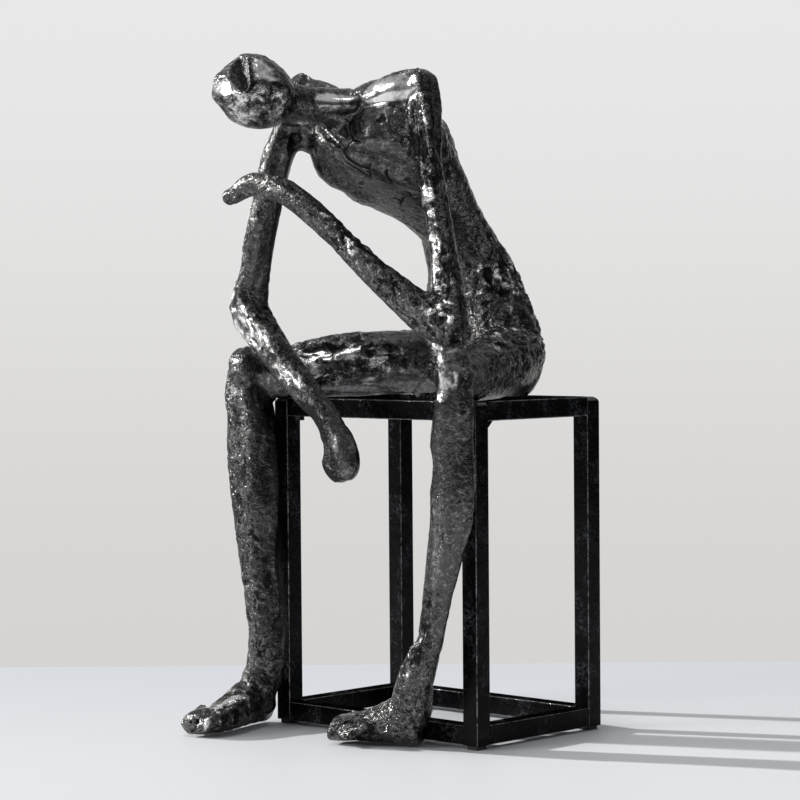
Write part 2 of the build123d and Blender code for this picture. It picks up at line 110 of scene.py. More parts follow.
def beside(points: np.ndarray, start_mm: Place, end_mm: Place) -> tuple[np.ndarray, np.ndarray]:
    """Measure points against the line between two places.

    Args:
        points: places, with three numbers along the last axis.
        start_mm: where the line starts.
        end_mm: where it ends.

    Returns:
        How far along the line each point lies, as a share, and how far away from it.
    """
    start = spot(*start_mm)
    run = spot(*end_mm) - start
    share = np.clip((points - start) @ run / (run @ run + TINY), 0.0, 1.0)
    return share, np.linalg.norm(points - start - share[..., None] * run, axis=-1)


def smooth_step(low: float, high: float, value: np.ndarray) -> np.ndarray:
    """Rise from 0 at low to 1 at high along 3t^2 - 2t^3."""
    part = np.clip((value - low) / (high - low), 0.0, 1.0)
    return part * part * (3 - 2 * part)


# Noise on points

def hashed(cells: np.ndarray, seed: int) -> np.ndarray:
    """Give each whole-numbered cell an index into a table, mixed from its numbers by large primes."""
    mixed = cells[..., 0] * CELL_PRIMES[0] ^ cells[..., 1] * CELL_PRIMES[1] ^ cells[..., 2] * CELL_PRIMES[2]
    return (mixed ^ seed * SEED_PRIME) % TABLE_LENGTH


def soft_noise(points: np.ndarray, size: float, seed: int) -> np.ndarray:
    """Blend seeded random values at the corners of cubic cells.

    The eight corner values are weighted by 6t^5 - 15t^4 + 10t^3 along each axis.

    Args:
        points: places, one row of three each.
        size: the edge of a cell.
        seed: changes the pattern.

    Returns:
        One value from -1 to 1 per point.
    """
    table = np.random.default_rng(seed).uniform(-1.0, 1.0, TABLE_LENGTH)
    scaled = points / size
    cells = np.floor(scaled).astype(np.int64)
    part = scaled - cells
    part = part * part * part * (part * (part * 6 - 15) + 10)
    total = np.zeros(len(points))
    for corner in product((0, 1), repeat=3):
        weight = np.prod(np.where(corner, part, 1 - part), axis=1)
        total += weight * table[hashed(cells + np.array(corner), seed)]
    return total


def cell_distances(points: np.ndarray, size: float, seed: int) -> tuple[np.ndarray, np.ndarray]:
    """Give the distance to the nearest and next seeded point, one point to a cell.

    Args:
        points: places, one row of three each.
        size: the edge of a cell.
        seed: changes the pattern.

    Returns:
        The nearest and the second distance of each point, in cell sizes.
    """
    jitter = np.random.default_rng(seed).uniform(0.0, 1.0, (TABLE_LENGTH, 3))
    scaled = points / size
    cells = np.floor(scaled).astype(np.int64)
    first = np.full(len(points), np.inf)
    second = first.copy()
    for step in product((-1, 0, 1), repeat=3):
        near = cells + np.array(step)
        away = np.linalg.norm(near + jitter[hashed(near, seed)] - scaled, axis=1)
        second = np.where(away < first, first, np.minimum(second, away))
        first = np.minimum(first, away)
    return first, second


@dataclass(frozen=True)
class Noise:
    """One size of noise, with its seed and weight, on places that a warp may push about."""

    size_mm: float
    seed: int
    weight: float = 1.0
    push_mm: float = 0.0

    def value(self, points: np.ndarray, warp: np.ndarray | float = 0.0) -> np.ndarray:
        """Give each point the weighted noise there."""
        return self.weight * soft_noise(points + warp * self.push_mm * MM, self.size_mm * MM, self.seed)


@dataclass(frozen=True)
class Warp:
    """Three soft noises that push places about, one along each axis."""

    size_mm: float
    seeds: tuple[int, int, int]

    def value(self, points: np.ndarray) -> np.ndarray:
        """Give each point its push, from -1 to 1 along each axis."""
        return np.stack([soft_noise(points, self.size_mm * MM, seed) for seed in self.seeds], axis=1)


# Level sets on a grid

@dataclass(frozen=True)
class Form:
    """A tapering rounded bar that is laid on or pressed into the skin, or a plane it is filed to.

    A plane lies at the start, square to the line, and its radii say how far it reaches.
    """

    touch: Touch
    start_mm: Place
    end_mm: Place
    start_radius_mm: float
    end_radius_mm: float
    blend_mm: float

    def distance(self, points: np.ndarray) -> np.ndarray:
        """Give the signed distance to the form.

        For a bar: the distance to the nearest point of its axis, less the radius there.
        For a plane: how far a point lies beyond the start, along start to end.

        Args:
            points: places, with three numbers along the last axis.

        Returns:
            One distance per point, negative inside.
        """
        if self.touch is Touch.FILED:
            start = spot(*self.start_mm)
            run = spot(*self.end_mm) - start
            return (points - start) @ (run / np.linalg.norm(run))
        share, away = beside(points, self.start_mm, self.end_mm)
        radius = self.start_radius_mm + share * (self.end_radius_mm - self.start_radius_mm)
        return away - radius * MM


def chain(touch: Touch, blend_mm: float, *stops: Stop) -> list[Form]:
    """Give tapering bars from stop to stop, each stop a place and the radius there."""
    return [Form(touch, one[:3], two[:3], one[3], two[3], blend_mm) for one, two in zip(stops, stops[1:])]


def smooth_lowest(one: np.ndarray, other: np.ndarray, blend: float) -> np.ndarray:
    """Take the smaller of two fields, rounded where they are within blend of each other."""
    near = np.maximum(blend - np.abs(one - other), 0.0) / blend
    return np.minimum(one, other) - near * near * blend / 4


@dataclass
class Field:
    """A level set as an array of distances on a cubic grid."""

    cell: float
    corner: np.ndarray
    values: np.ndarray

    def window(self, low: np.ndarray, high: np.ndarray) -> tuple[slice, ...]:
        """Give the part of the grid between two places."""
        first = np.maximum(np.floor(low / self.cell).astype(int) - self.corner, 0)
        last = np.minimum(np.ceil(high / self.cell).astype(int) - self.corner + 1, self.values.shape)
        return tuple(slice(a, max(a, b)) for a, b in zip(first, last))

    def places(self, window: tuple[slice, ...]) -> np.ndarray:
        """Give the places of the grid points in a window."""
        axes = [np.arange(part.start, part.stop) + offset for part, offset in zip(window, self.corner)]
        return np.stack(np.meshgrid(*axes, indexing="ij"), axis=-1) * self.cell

    def work(self, form: Form) -> None:
        """Lay a form on the skin, press it in, or file the skin to it.

        Args:
            form: what to apply, near its line or, for a plane, near its start.
        """
        ends = np.array([spot(*form.start_mm), spot(*form.end_mm)])
        reach = (max(form.start_radius_mm, form.end_radius_mm) + form.blend_mm) * MM + self.cell
        if form.touch is Touch.FILED:
            ends = ends[:1]
            reach = form.start_radius_mm * MM
        window = self.window(ends.min(0) - reach, ends.max(0) + reach)
        distance = form.distance(self.places(window))
        held = self.values[window]
        blend = form.blend_mm * MM
        if form.touch is Touch.SWELL:
            held = smooth_lowest(held, distance, blend)
        elif form.touch is Touch.HOLLOW:
            held = -smooth_lowest(-held, distance, blend)
        else:
            held = -smooth_lowest(-held, -distance, blend)
        self.values[window] = held

    def sample(self, points: np.ndarray) -> np.ndarray:
        """Give the value of the nearest grid point, or the largest value outside the grid."""
        index = np.rint(points / self.cell).astype(int) - self.corner
        inside = ((index >= 0) & (index < self.values.shape)).all(axis=1)
        index = np.clip(index, 0, np.array(self.values.shape) - 1)
        found = self.values[index[:, 0], index[:, 1], index[:, 2]]
        return np.where(inside, found, self.values.max())

    def faces(self, level: float) -> tuple[np.ndarray, np.ndarray, np.ndarray]:
        """Give points, triangles and quads of the surface where the field has a level."""
        grid = openvdb.FloatGrid(float(self.values.max()))
        grid.transform = openvdb.createLinearTransform(voxelSize=self.cell)
        corner = tuple(int(i) for i in self.corner)
        grid.copyFromArray(np.ascontiguousarray(self.values, np.float32), ijk=corner)
        return grid.convertToPolygons(isovalue=level, adaptivity=0.0)


def field_from_faces(
    points: np.ndarray, triangles: np.ndarray, quads: np.ndarray | None, cell: float, band: float
) -> Field:
    """Measure the signed distance to a closed mesh on a grid.

    Args:
        points: the mesh's points.
        triangles: its triangles.
        quads: its quads, or None.
        cell: the grid's spacing.
        band: how far from the surface the distance is exact, in cells.

    Returns:
        The field over the mesh and a margin of the band and two cells.
    """
    grid = openvdb.FloatGrid.createLevelSetFromPolygons(
        np.ascontiguousarray(points, np.float32),
        triangles=np.ascontiguousarray(triangles, np.uint32),
        quads=None if quads is None else np.ascontiguousarray(quads, np.uint32),
        transform=openvdb.createLinearTransform(voxelSize=cell),
        halfWidth=band,
    )
    margin = int(band) + 2
    low = np.floor(points.min(0) / cell).astype(int) - margin
    high = np.ceil(points.max(0) / cell).astype(int) + margin
    values = np.full(tuple(high - low + 1), band * cell, np.float32)
    grid.copyToArray(values, ijk=tuple(int(i) for i in low))
    return Field(cell, low, values)


# Meshes

def node_faces(name: str) -> tuple[np.ndarray, np.ndarray]:
    """Give the points and triangles of a solid's mesh."""
    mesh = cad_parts[name].data
    mesh.calc_loop_triangles()
    points = np.zeros(len(mesh.vertices) * 3, np.float32)
    mesh.vertices.foreach_get("co", points)
    corners = np.zeros(len(mesh.loop_triangles) * 3, np.int32)
    mesh.loop_triangles.foreach_get("vertices", corners)
    return points.reshape(-1, 3), corners.reshape(-1, 3)


def face_normals(points: np.ndarray, quads: np.ndarray) -> np.ndarray:
    """Give each quad's area vector, half the cross product of its diagonals."""
    return np.cross(points[quads[:, 2]] - points[quads[:, 0]], points[quads[:, 3]] - points[quads[:, 1]]) / 2


def point_normals(points: np.ndarray, quads: np.ndarray) -> np.ndarray:
    """Give each point the unit sum of the area vectors around it."""
    area = face_normals(points, quads)
    total = np.zeros_like(points)
    for axis in range(3):
        for corner in range(4):
            total[:, axis] += np.bincount(quads[:, corner], area[:, axis], len(points))
    return total / np.maximum(np.linalg.norm(total, axis=1, keepdims=True), TINY)


def quad_edges(quads: np.ndarray) -> np.ndarray:
    """Give the four edges of each quad, two point numbers each."""
    return np.concatenate([quads[:, [0, 1]], quads[:, [1, 2]], quads[:, [2, 3]], quads[:, [3, 0]]])


def relaxed(points: np.ndarray, quads: np.ndarray, rounds: int, pull: float, push: float) -> np.ndarray:
    """Move each point towards the mean of its neighbours, then most of the way back out.

    Args:
        points: the mesh's points.
        quads: its quads.
        rounds: how many times.
        pull: the share of the way in.
        push: the share of the way back out.

    Returns:
        The moved points.
    """
    ends = quad_edges(quads)
    count = np.maximum(np.bincount(ends[:, 0], minlength=len(points)), 1)[:, None]
    moved = points.copy()
    for share in (pull, -push) * rounds:
        sums = [np.bincount(ends[:, 0], moved[ends[:, 1], axis], len(points)) for axis in range(3)]
        moved = moved + share * (np.stack(sums, 1) / count - moved)
    return moved


def loop_names(rim: np.ndarray, count: int) -> np.ndarray:
    """Name each loop of open edges by the lowest of its point numbers.

    Args:
        rim: open edges, two point numbers each.
        count: how many points there are.

    Returns:
        One name per point, the same all round a loop.
    """
    names = np.arange(count)
    while True:
        lowest = np.minimum(names[rim[:, 0]], names[rim[:, 1]])
        joined = names.copy()
        np.minimum.at(joined, rim[:, 0], lowest)
        np.minimum.at(joined, rim[:, 1], lowest)
        if (joined == names).all():
            return names
        names = joined


def make_object(name: str, points: np.ndarray, faces: list[np.ndarray]) -> bpy.types.Object:
    """Put points and faces into a new smooth mesh object at the origin.

    Args:
        name: the object's name.
        points: one row of three per point.
        faces: arrays of faces, one array for each number of corners.

    Returns:
        The new object.
    """
    mesh = bpy.data.meshes.new(name)
    mesh.vertices.add(len(points))
    mesh.vertices.foreach_set("co", np.ascontiguousarray(points, np.float32).ravel())
    loops = np.concatenate([group.ravel() for group in faces]).astype(np.int32)
    totals = np.concatenate([np.full(len(group), group.shape[1]) for group in faces]).astype(np.int32)
    mesh.loops.add(len(loops))
    mesh.loops.foreach_set("vertex_index", loops)
    mesh.polygons.add(len(totals))
    mesh.polygons.foreach_set("loop_start", np.concatenate([[0], np.cumsum(totals)[:-1]]).astype(np.int32))
    mesh.polygons.foreach_set("use_smooth", np.ones(len(totals), bool))
    mesh.update(calc_edges=True)
    mesh.validate()
    piece = bpy.data.objects.new(name, mesh)
    bpy.context.scene.collection.objects.link(piece)
    return piece


# Shader building blocks

class Shader:
    """A small pen for drawing a node tree, one node to a call."""

    def __init__(self, tree: bpy.types.NodeTree) -> None:
        """Start on an emptied tree."""
        self.tree = tree
        tree.nodes.clear()

    def node(self, kind: str, **settings: object) -> bpy.types.Node:
        """Add a node and set its properties."""
        made = self.tree.nodes.new(kind)
        for name, value in settings.items():
            setattr(made, name, value)
        return made

    def feed(self, socket: Socket, value: Given) -> None:
        """Join a socket to another one, or write a plain value into it."""
        if isinstance(value, Socket):
            self.tree.links.new(value, socket)
        else:
            socket.default_value = value

    def fed(self, node: bpy.types.Node, *values: Given) -> bpy.types.Node:
        """Feed a node's inputs in their order."""
        for socket, value in zip(node.inputs, values):
            self.feed(socket, value)
        return node

    def math(self, operation: str, *values: Given) -> Socket:
        """Add a maths node."""
        return self.fed(self.node("ShaderNodeMath", operation=operation), *values).outputs[0]

    def ramp(self, value: Socket, low: Given, high: Given, start: float = 0.0, end: float = 1.0) -> Socket:
        """Map a value from low..high to start..end along a smooth step."""
        made = self.node("ShaderNodeMapRange", interpolation_type="SMOOTHSTEP")
        return self.fed(made, value, low, high, start, end).outputs[0]

    def line(self, value: Socket, width: float) -> Socket:
        """Give 1 where a noise crosses its middle, falling to 0 at a width from it."""
        return self.ramp(self.math("ABSOLUTE", self.math("SUBTRACT", value, 0.5)), width, 0.0)

    def mix(self, share: Given, one: Given, other: Given) -> Socket:
        """Mix two colours."""
        made = self.node("ShaderNodeMix", data_type="RGBA")
        for index, given in zip((0, 6, 7), (share, one, other)):
            self.feed(made.inputs[index], given)
        return made.outputs[2]

    def blend(self, share: Given, one: Given, other: Given) -> Socket:
        """Mix two numbers."""
        made = self.node("ShaderNodeMix", data_type="FLOAT")
        for index, given in zip((0, 2, 3), (share, one, other)):
            self.feed(made.inputs[index], given)
        return made.outputs[0]

    def noise(
        self, place: Socket, size: float, detail: float = 3.0, rough: float = 0.55, twist: float = 0.0
    ) -> Socket:
        """Add a noise texture whose coarsest lumps have a size in metres."""
        made = self.node("ShaderNodeTexNoise")
        self.feed(made.inputs["Vector"], place)
        settings = {"Scale": 1.0 / size, "Detail": detail, "Roughness": rough, "Distortion": twist}
        for name, value in settings.items():
            made.inputs[name].default_value = value
        return made.outputs[0]

    def cells(self, place: Socket, size: float) -> Socket:
        """Add a cell texture whose cells have a size in metres."""
        made = self.node("ShaderNodeTexVoronoi")
        self.feed(made.inputs["Vector"], place)
        made.inputs["Scale"].default_value = 1.0 / size
        return made.outputs["Distance"]

    def mark(self, name: str) -> Socket:
        """Read one of the mesh's own attributes."""
        return self.node("ShaderNodeAttribute", attribute_name=name).outputs["Fac"]

    def coordinates(self, kind: str = "Object") -> Socket:
        """Give the Object coordinates, or another kind."""
        return self.node("ShaderNodeTexCoord").outputs[kind]

    def parts(self, vector: Socket) -> dict[str, Socket]:
        """Split a vector into X, Y and Z."""
        return {part.name: part for part in self.fed(self.node("ShaderNodeSeparateXYZ"), vector).outputs}

    def along(self, vector: Socket, way: np.ndarray) -> Socket:
        """Measure a vector along a way."""
        made = self.fed(self.node("ShaderNodeVectorMath", operation="DOT_PRODUCT"), vector, tuple(way))
        return made.outputs["Value"]

    def bump(self, surface: bpy.types.Node, height: Socket, depth: float) -> None:
        """Tilt a shader's normal by a height, of which 1 stands for a depth in metres."""
        made = self.node("ShaderNodeBump")
        made.inputs["Strength"].default_value = 1.0
        made.inputs["Distance"].default_value = depth
        self.feed(made.inputs["Height"], height)
        self.feed(surface.inputs["Normal"], made.outputs["Normal"])


def new_group(
    name: str, inputs: dict[str, float], outputs: tuple[str, ...]
) -> tuple[bpy.types.NodeTree, Shader, dict[str, Socket], dict[str, Socket]]:
    """Start a shader node group with named float sockets and a place input.

    Args:
        name: the group's name.
        inputs: float inputs and their values.
        outputs: float outputs.

    Returns:
        The tree, its pen, its inner input sockets and its inner output sockets.
    """
    tree = bpy.data.node_groups.new(name, "ShaderNodeTree")
    tree.interface.new_socket("Place", in_out="INPUT", socket_type="NodeSocketVector")
    for title, value in inputs.items():
        tree.interface.new_socket(title, in_out="INPUT", socket_type="NodeSocketFloat").default_value = value
    for title in outputs:
        tree.interface.new_socket(title, in_out="OUTPUT", socket_type="NodeSocketFloat")
    pen = Shader(tree)
    given = pen.node("NodeGroupInput").outputs
    wanted = pen.node("NodeGroupOutput").inputs
    return tree, pen, {s.name: s for s in given if s.name}, {s.name: s for s in wanted if s.name}


@dataclass(frozen=True)
class MetalGrain:
    """Fine grain: two sizes of noise, creases, the edges of foil-like folds and scattered small pits."""

    fine_size: float = 0.8 * MM
    fine_share: float = 0.55
    broad_size: float = 2.6 * MM
    crease_size: float = 4.2 * MM
    crease_width: float = 0.03
    crease_depth: float = 0.35
    foil_size: float = 1.7 * MM
    foil_width: float = 0.14
    foil_depth: float = 0.22
    pit_size: float = 1.5 * MM
    pit_edge: Range = (0.34, 0.06)
    scatter_size: float = 5.5 * MM
    scattered: Range = (0.46, 0.62)

    def make(self) -> bpy.types.NodeTree:
        """Make the group.

        Returns:
            A group whose Height is the grain less the pits, and whose Pits is 1 in the middle of a pit.
        """
        inputs = {"Grain": 1.0, "Pits": 0.5}
        tree, pen, given, wanted = new_group("metal grain", inputs, ("Height", "Pits"))
        place = given["Place"]
        fine = pen.noise(place, self.fine_size, detail=2.0, rough=0.6)
        broad = pen.noise(place, self.broad_size, detail=2.0, rough=0.5, twist=0.5)
        crease = pen.line(pen.noise(place, self.crease_size, rough=0.6, twist=0.7), self.crease_width)
        foil = pen.line(pen.noise(place, self.foil_size, detail=2.0, rough=0.5, twist=0.4), self.foil_width)
        round_pit = pen.ramp(pen.cells(place, self.pit_size), *self.pit_edge)
        share = pen.ramp(pen.noise(place, self.scatter_size, detail=2.0), *self.scattered)
        pits = pen.math("MULTIPLY", pen.math("MULTIPLY", round_pit, share), given["Pits"])
        grain = pen.math("MULTIPLY_ADD", fine, self.fine_share, broad)
        grain = pen.math("MULTIPLY_ADD", crease, -self.crease_depth, grain)
        grain = pen.math("MULTIPLY_ADD", foil, -self.foil_depth, grain)
        pen.feed(wanted["Height"], pen.math("SUBTRACT", pen.math("MULTIPLY", grain, given["Grain"]), pits))
        pen.feed(wanted["Pits"], pits)
        return tree


@dataclass(frozen=True)
class WearAndHighlightSpots:
    """A mask of bright metal, for wear and painted highlights alike: 1 on high ground, broken up by noise."""

    patch_size: float = 9.0 * MM
    speck_size: float = 1.3 * MM
    patch_share: float = 0.6
    noise_middle: float = 0.5
    rise: float = 0.4

    def make(self) -> bpy.types.NodeTree:
        """Make the group.

        Returns:
            A group whose Worn and highlit output is a smooth step of the given height plus noise, above a
            threshold.
        """
        inputs = {"High": 0.0, "Start": 0.3, "Break": 0.5}
        tree, pen, given, wanted = new_group("worn and highlight spots", inputs, ("Worn and highlit",))
        patches = pen.noise(given["Place"], self.patch_size, rough=0.6, twist=0.4)
        specks = pen.noise(given["Place"], self.speck_size, rough=0.65)
        broken = pen.math("SUBTRACT", pen.blend(self.patch_share, specks, patches), self.noise_middle)
        raised = pen.math("MULTIPLY_ADD", broken, given["Break"], given["High"])
        top = pen.math("ADD", given["Start"], self.rise)
        pen.feed(wanted["Worn and highlit"], pen.ramp(raised, given["Start"], top))
        return tree


@dataclass(frozen=True)
class Groups:
    """The node groups that the finishes draw on."""

    grain: bpy.types.NodeTree
    wear_and_highlight_group: bpy.types.NodeTree


def place_group(pen: Shader, tree: bpy.types.NodeTree, place: Socket, **values: Given) -> dict[str, Socket]:
    """Put a group into a material.

    Args:
        pen: the material's pen.
        tree: the group.
        place: what feeds its Place.
        values: numbers or sockets for its other inputs.

    Returns:
        Its outputs by name.
    """
    made = pen.node("ShaderNodeGroup", node_tree=tree)
    pen.feed(made.inputs["Place"], place)
    for name, value in values.items():
        pen.feed(made.inputs[name], value)
    return {socket.name: socket for socket in made.outputs}


def new_material(name: str) -> tuple[bpy.types.Material, Shader, bpy.types.Node]:
    """Start a material with a Principled shader joined to its output."""
    material = bpy.data.materials.new(name)
    material.use_nodes = True
    pen = Shader(material.node_tree)
    surface = pen.node("ShaderNodeBsdfPrincipled")
    output = pen.node("ShaderNodeOutputMaterial")
    pen.feed(output.inputs["Surface"], surface.outputs["BSDF"])
    return material, pen, surface


def grey(value: float, warm: float = 0.0) -> Colour:
    """Give a grey, a little warmer or cooler."""
    return (value * (1 + warm), value, value * (1 - warm), 1.0)


@dataclass(frozen=True)
class CastingFinish:
    """Blackened cast metal, rubbed bright on its high spots and where hands reach, partly as painted
    highlight, and with painted shade.
    """

    sunk_and_painted_shade: Colour = grey(0.012, 0.01)
    body: Colour = grey(0.085, 0.02)
    light_body: Colour = grey(0.22, 0.02)
    worn_and_highlight_metal: Colour = grey(0.8, 0.02)
    sunk_roughness: float = 0.32
    body_roughness: float = 0.2
    bright_roughness: float = 0.17
    bump_depth: float = 0.42 * MM
    pits: float = 0.5
    wear_and_highlight_lift: float = 0.75
    worn_start: float = 0.4
    worn_break: float = 1.2
    smoothing: Range = (0.2, 1.0)
    calm_grain: float = 0.18
    wear_and_highlight_grain: float = 0.25
    fleck: Range = (0.6, 0.95)
    grain_middle: float = 0.62
    grain_weight: float = 1.5
    hollow: Range = (-0.08, -0.6)
    hollow_share: float = 0.93

    def make(self, groups: Groups) -> bpy.types.Material:
        """Build the material: relief with painted shade, and wear with painted highlights, pick sunk, body or
        bright metal.
        """
        material, pen, surface = new_material("blackened cast metal")
        place = pen.coordinates()
        relief_and_painted_shade, wear_and_highlight, calm = (pen.mark(name) for name in ("relief_and_painted_shade", "wear_and_highlight", "calm"))
        grain = place_group(pen, groups.grain, place, Grain=1.0, Pits=self.pits)
        lively = pen.ramp(calm, *self.smoothing, 1.0, self.calm_grain)
        # Wear and painted highlight: the listed patches lift the mask that turns the metal bright.
        high = pen.math("MULTIPLY_ADD", wear_and_highlight, self.wear_and_highlight_lift, relief_and_painted_shade)
        wear_and_highlight_group = place_group(pen, groups.wear_and_highlight_group, place, High=high, Start=self.worn_start, Break=self.worn_break)
        worn_and_highlit = wear_and_highlight_group["Worn and highlit"]
        uneven = pen.math("MULTIPLY", pen.math("SUBTRACT", grain["Height"], self.grain_middle), lively)
        low = pen.math("MULTIPLY_ADD", uneven, self.grain_weight, relief_and_painted_shade)
        # Dark in hollows as patina, and dark where the tone mark holds painted shade.
        hollow = pen.ramp(low, *self.hollow, 0.0, self.hollow_share)
        tone = pen.mix(pen.ramp(grain["Height"], *self.fleck), self.body, self.light_body)
        tone = pen.mix(worn_and_highlit, tone, self.worn_and_highlight_metal)
        tone = pen.mix(hollow, tone, self.sunk_and_painted_shade)
        tone = pen.mix(grain["Pits"], tone, self.sunk_and_painted_shade)
        pen.feed(surface.inputs["Base Color"], tone)
        surface.inputs["Metallic"].default_value = 1.0
        plain = pen.ramp(hollow, 0.0, 1.0, self.body_roughness, self.sunk_roughness)
        pen.feed(surface.inputs["Roughness"], pen.blend(worn_and_highlit, plain, self.bright_roughness))
        kept = pen.math("MULTIPLY", pen.ramp(wear_and_highlight, *self.smoothing, 1.0, self.wear_and_highlight_grain), lively)
        pen.bump(surface, pen.math("MULTIPLY", grain["Height"], kept), self.bump_depth)
        return material


@dataclass(frozen=True)
class BarPaint:
    """Gloss black paint on square bar, a little uneven, scuffed, and rubbed through at its edges."""

    black: Colour = (0.002, 0.0021, 0.0025, 1.0)
    scuff: Colour = (0.055, 0.057, 0.06, 1.0)
    bare: Colour = (0.2, 0.2, 0.205, 1.0)
    roughness: float = 0.15
    dull: float = 0.5
    gloss_level: float = 0.07
    dusty: Range = (0.7, 0.95)
    grain: float = 0.5
    pits: float = 0.4
    wave_size: float = 11.0 * MM
    wave_weight: float = 2.5
    bump_depth: float = 0.12 * MM
    scuff_size: float = 16.0 * MM
    scuffed: Range = (0.46, 0.68)
    speck_size: float = 1.6 * MM
    specked: Range = (0.42, 0.7)
    edge: Range = (0.975, 0.88)
    bare_size: float = 3.5 * MM
    bared: Range = (0.36, 0.62)
    least_bare: float = 0.1

    def make(self, groups: Groups) -> bpy.types.Material:
        """Build the material: low waves and grain in the paint, dull scuffs, and bare metal at the edges.

        An edge is where the largest part of the normal along an axis falls below 1.
        The paint on faces that look up is dusty, so it mirrors nothing.
        """
        material, pen, surface = new_material("gloss black paint")
        place = pen.coordinates()
        grain = place_group(pen, groups.grain, place, Grain=self.grain, Pits=self.pits)
        wave = pen.noise(place, self.wave_size, detail=2.0, rough=0.5, twist=0.3)
        broad = pen.ramp(pen.noise(place, self.scuff_size, detail=4.0, rough=0.7), *self.scuffed)
        specks = pen.ramp(pen.noise(place, self.speck_size, rough=0.7), *self.specked)
        scuffs = pen.math("MULTIPLY", broad, specks)
        normal = pen.parts(pen.coordinates("Normal"))
        squarest = 0.0
        for part in normal.values():
            squarest = pen.math("MAXIMUM", squarest, pen.math("ABSOLUTE", part))
        patches = pen.ramp(pen.noise(place, self.bare_size, rough=0.6), *self.bared, self.least_bare, 1.0)
        bared = pen.math("MULTIPLY", pen.ramp(squarest, *self.edge), patches)
        gloss = pen.ramp(normal["Z"], *self.dusty, self.gloss_level, 0.0)
        paint = pen.mix(scuffs, self.black, self.scuff)
        pen.feed(surface.inputs["Base Color"], pen.mix(bared, paint, self.bare))
        pen.feed(surface.inputs["Metallic"], bared)
        pen.feed(surface.inputs["Specular IOR Level"], gloss)
        pen.feed(surface.inputs["Roughness"], pen.ramp(scuffs, 0.0, 1.0, self.roughness, self.dull))
        height = pen.math("MULTIPLY_ADD", wave, self.wave_weight, grain["Height"])
        pen.bump(surface, height, self.bump_depth)
        return material


@dataclass(frozen=True)
class PadRubber:
    """Matt dark rubber of the pads."""

    colour: Colour = (0.02, 0.02, 0.021, 1.0)
    pale: Colour = (0.05, 0.05, 0.05, 1.0)
    dust_size: float = 2.2 * MM
    roughness: float = 0.75

    def make(self) -> bpy.types.Material:
        """Build the material: dusty noise over a dark base."""
        material, pen, surface = new_material("matt rubber")
        dust = pen.noise(pen.coordinates(), self.dust_size, rough=0.6)
        pen.feed(surface.inputs["Base Color"], pen.mix(dust, self.colour, self.pale))
        surface.inputs["Roughness"].default_value = self.roughness
        return material


@dataclass(frozen=True)
class DrawnSteel:
    """Plain steel of the dowels."""

    colour: Colour = grey(0.5)
    dull: Colour = grey(0.28)
    patch_size: float = 2.0 * MM
    grain: float = 0.6
    pits: float = 0.2
    roughness: Range = (0.25, 0.45)

    def make(self, groups: Groups) -> bpy.types.Material:
        """Build the material: drawn grain with dull patches."""
        material, pen, surface = new_material("drawn steel")
        place = pen.coordinates()
        grain = place_group(pen, groups.grain, place, Grain=self.grain, Pits=self.pits)
        tone = pen.mix(pen.noise(place, self.patch_size), self.colour, self.dull)
        pen.feed(surface.inputs["Base Color"], tone)
        surface.inputs["Metallic"].default_value = 1.0
        pen.feed(surface.inputs["Roughness"], pen.ramp(grain["Height"], 0.0, 1.0, *self.roughness))
        return material


# What is worked into the figure

@dataclass(frozen=True)
class Foot:
    """Toes worked into the end of one foot.

    Inner is 1 where the big toe lies towards -x, and -1 where it lies towards +x.
    """

    heel_mm: Place
    turn_deg: float
    length_mm: float
    inner: int
    widths_mm: tuple[float, ...] = (6.6, 4.2, 3.8, 3.4, 3.0)
    set_back_mm: tuple[float, ...] = (0.6, 1.4, 3.2, 5.6, 8.6)
    inner_edge_mm: float = 9.6
    top_mm: float = 11.2
    toe_mm: float = 9.0
    toe_inset_mm: float = 1.6
    root_extra_mm: float = 0.5
    tip_extra_mm: float = 0.3
    toe_blend_mm: float = 1.2
    groove_mm: float = 13.0
    groove_rise_mm: float = 0.6
    groove_past_mm: float = 0.4
    groove_end_mm: float = 5.4
    groove_radii_mm: Range = (0.5, 1.0)
    groove_blend_mm: float = 0.7

    def forms(self) -> list[Form]:
        """Give a rounded toe for each width, and a groove between neighbours."""
        turn = radians(self.turn_deg)
        ahead = np.array([-self.inner * np.sin(turn), -np.cos(turn), 0.0])
        inward = np.array([-self.inner * np.cos(turn), np.sin(turn), 0.0])
        up = np.array([0.0, 0.0, 1.0])
        heel = np.array(self.heel_mm)
        thin, thick = self.groove_radii_mm
        made = []
        edge = self.inner_edge_mm
        for width, back in zip(self.widths_mm, self.set_back_mm):
            half = width / 2
            end = self.length_mm - back
            tip = heel + inward * (edge - half) + ahead * (end - half)
            root = tip - ahead * self.toe_mm + up * (self.top_mm - half - self.toe_inset_mm)
            tip = tip + up * (half + self.toe_inset_mm)
            stops = ((*root, half + self.root_extra_mm), (*tip, half + self.tip_extra_mm))
            made += chain(Touch.SWELL, self.toe_blend_mm, *stops)
            edge -= width
            side = heel + inward * edge
            root = side + ahead * (end - self.groove_mm) + up * (self.top_mm + self.groove_rise_mm)
            tip = side + ahead * (end + self.groove_past_mm) + up * self.groove_end_mm
            made += chain(Touch.HOLLOW, self.groove_blend_mm, (*root, thin), (*tip, thick))
        return made[:-1]


def filed(centre_mm: Place, way: Place, out_mm: float, reach_mm: float = 19.0, blend_mm: float = 0.7) -> Form:
    """Give a flat facet that lies so far out from a centre, square to a way."""
    unit = np.array(way) / np.linalg.norm(way)
    start = np.array(centre_mm) + unit * out_mm
    return Form(Touch.FILED, tuple(start), tuple(start + unit), reach_mm, reach_mm, blend_mm)


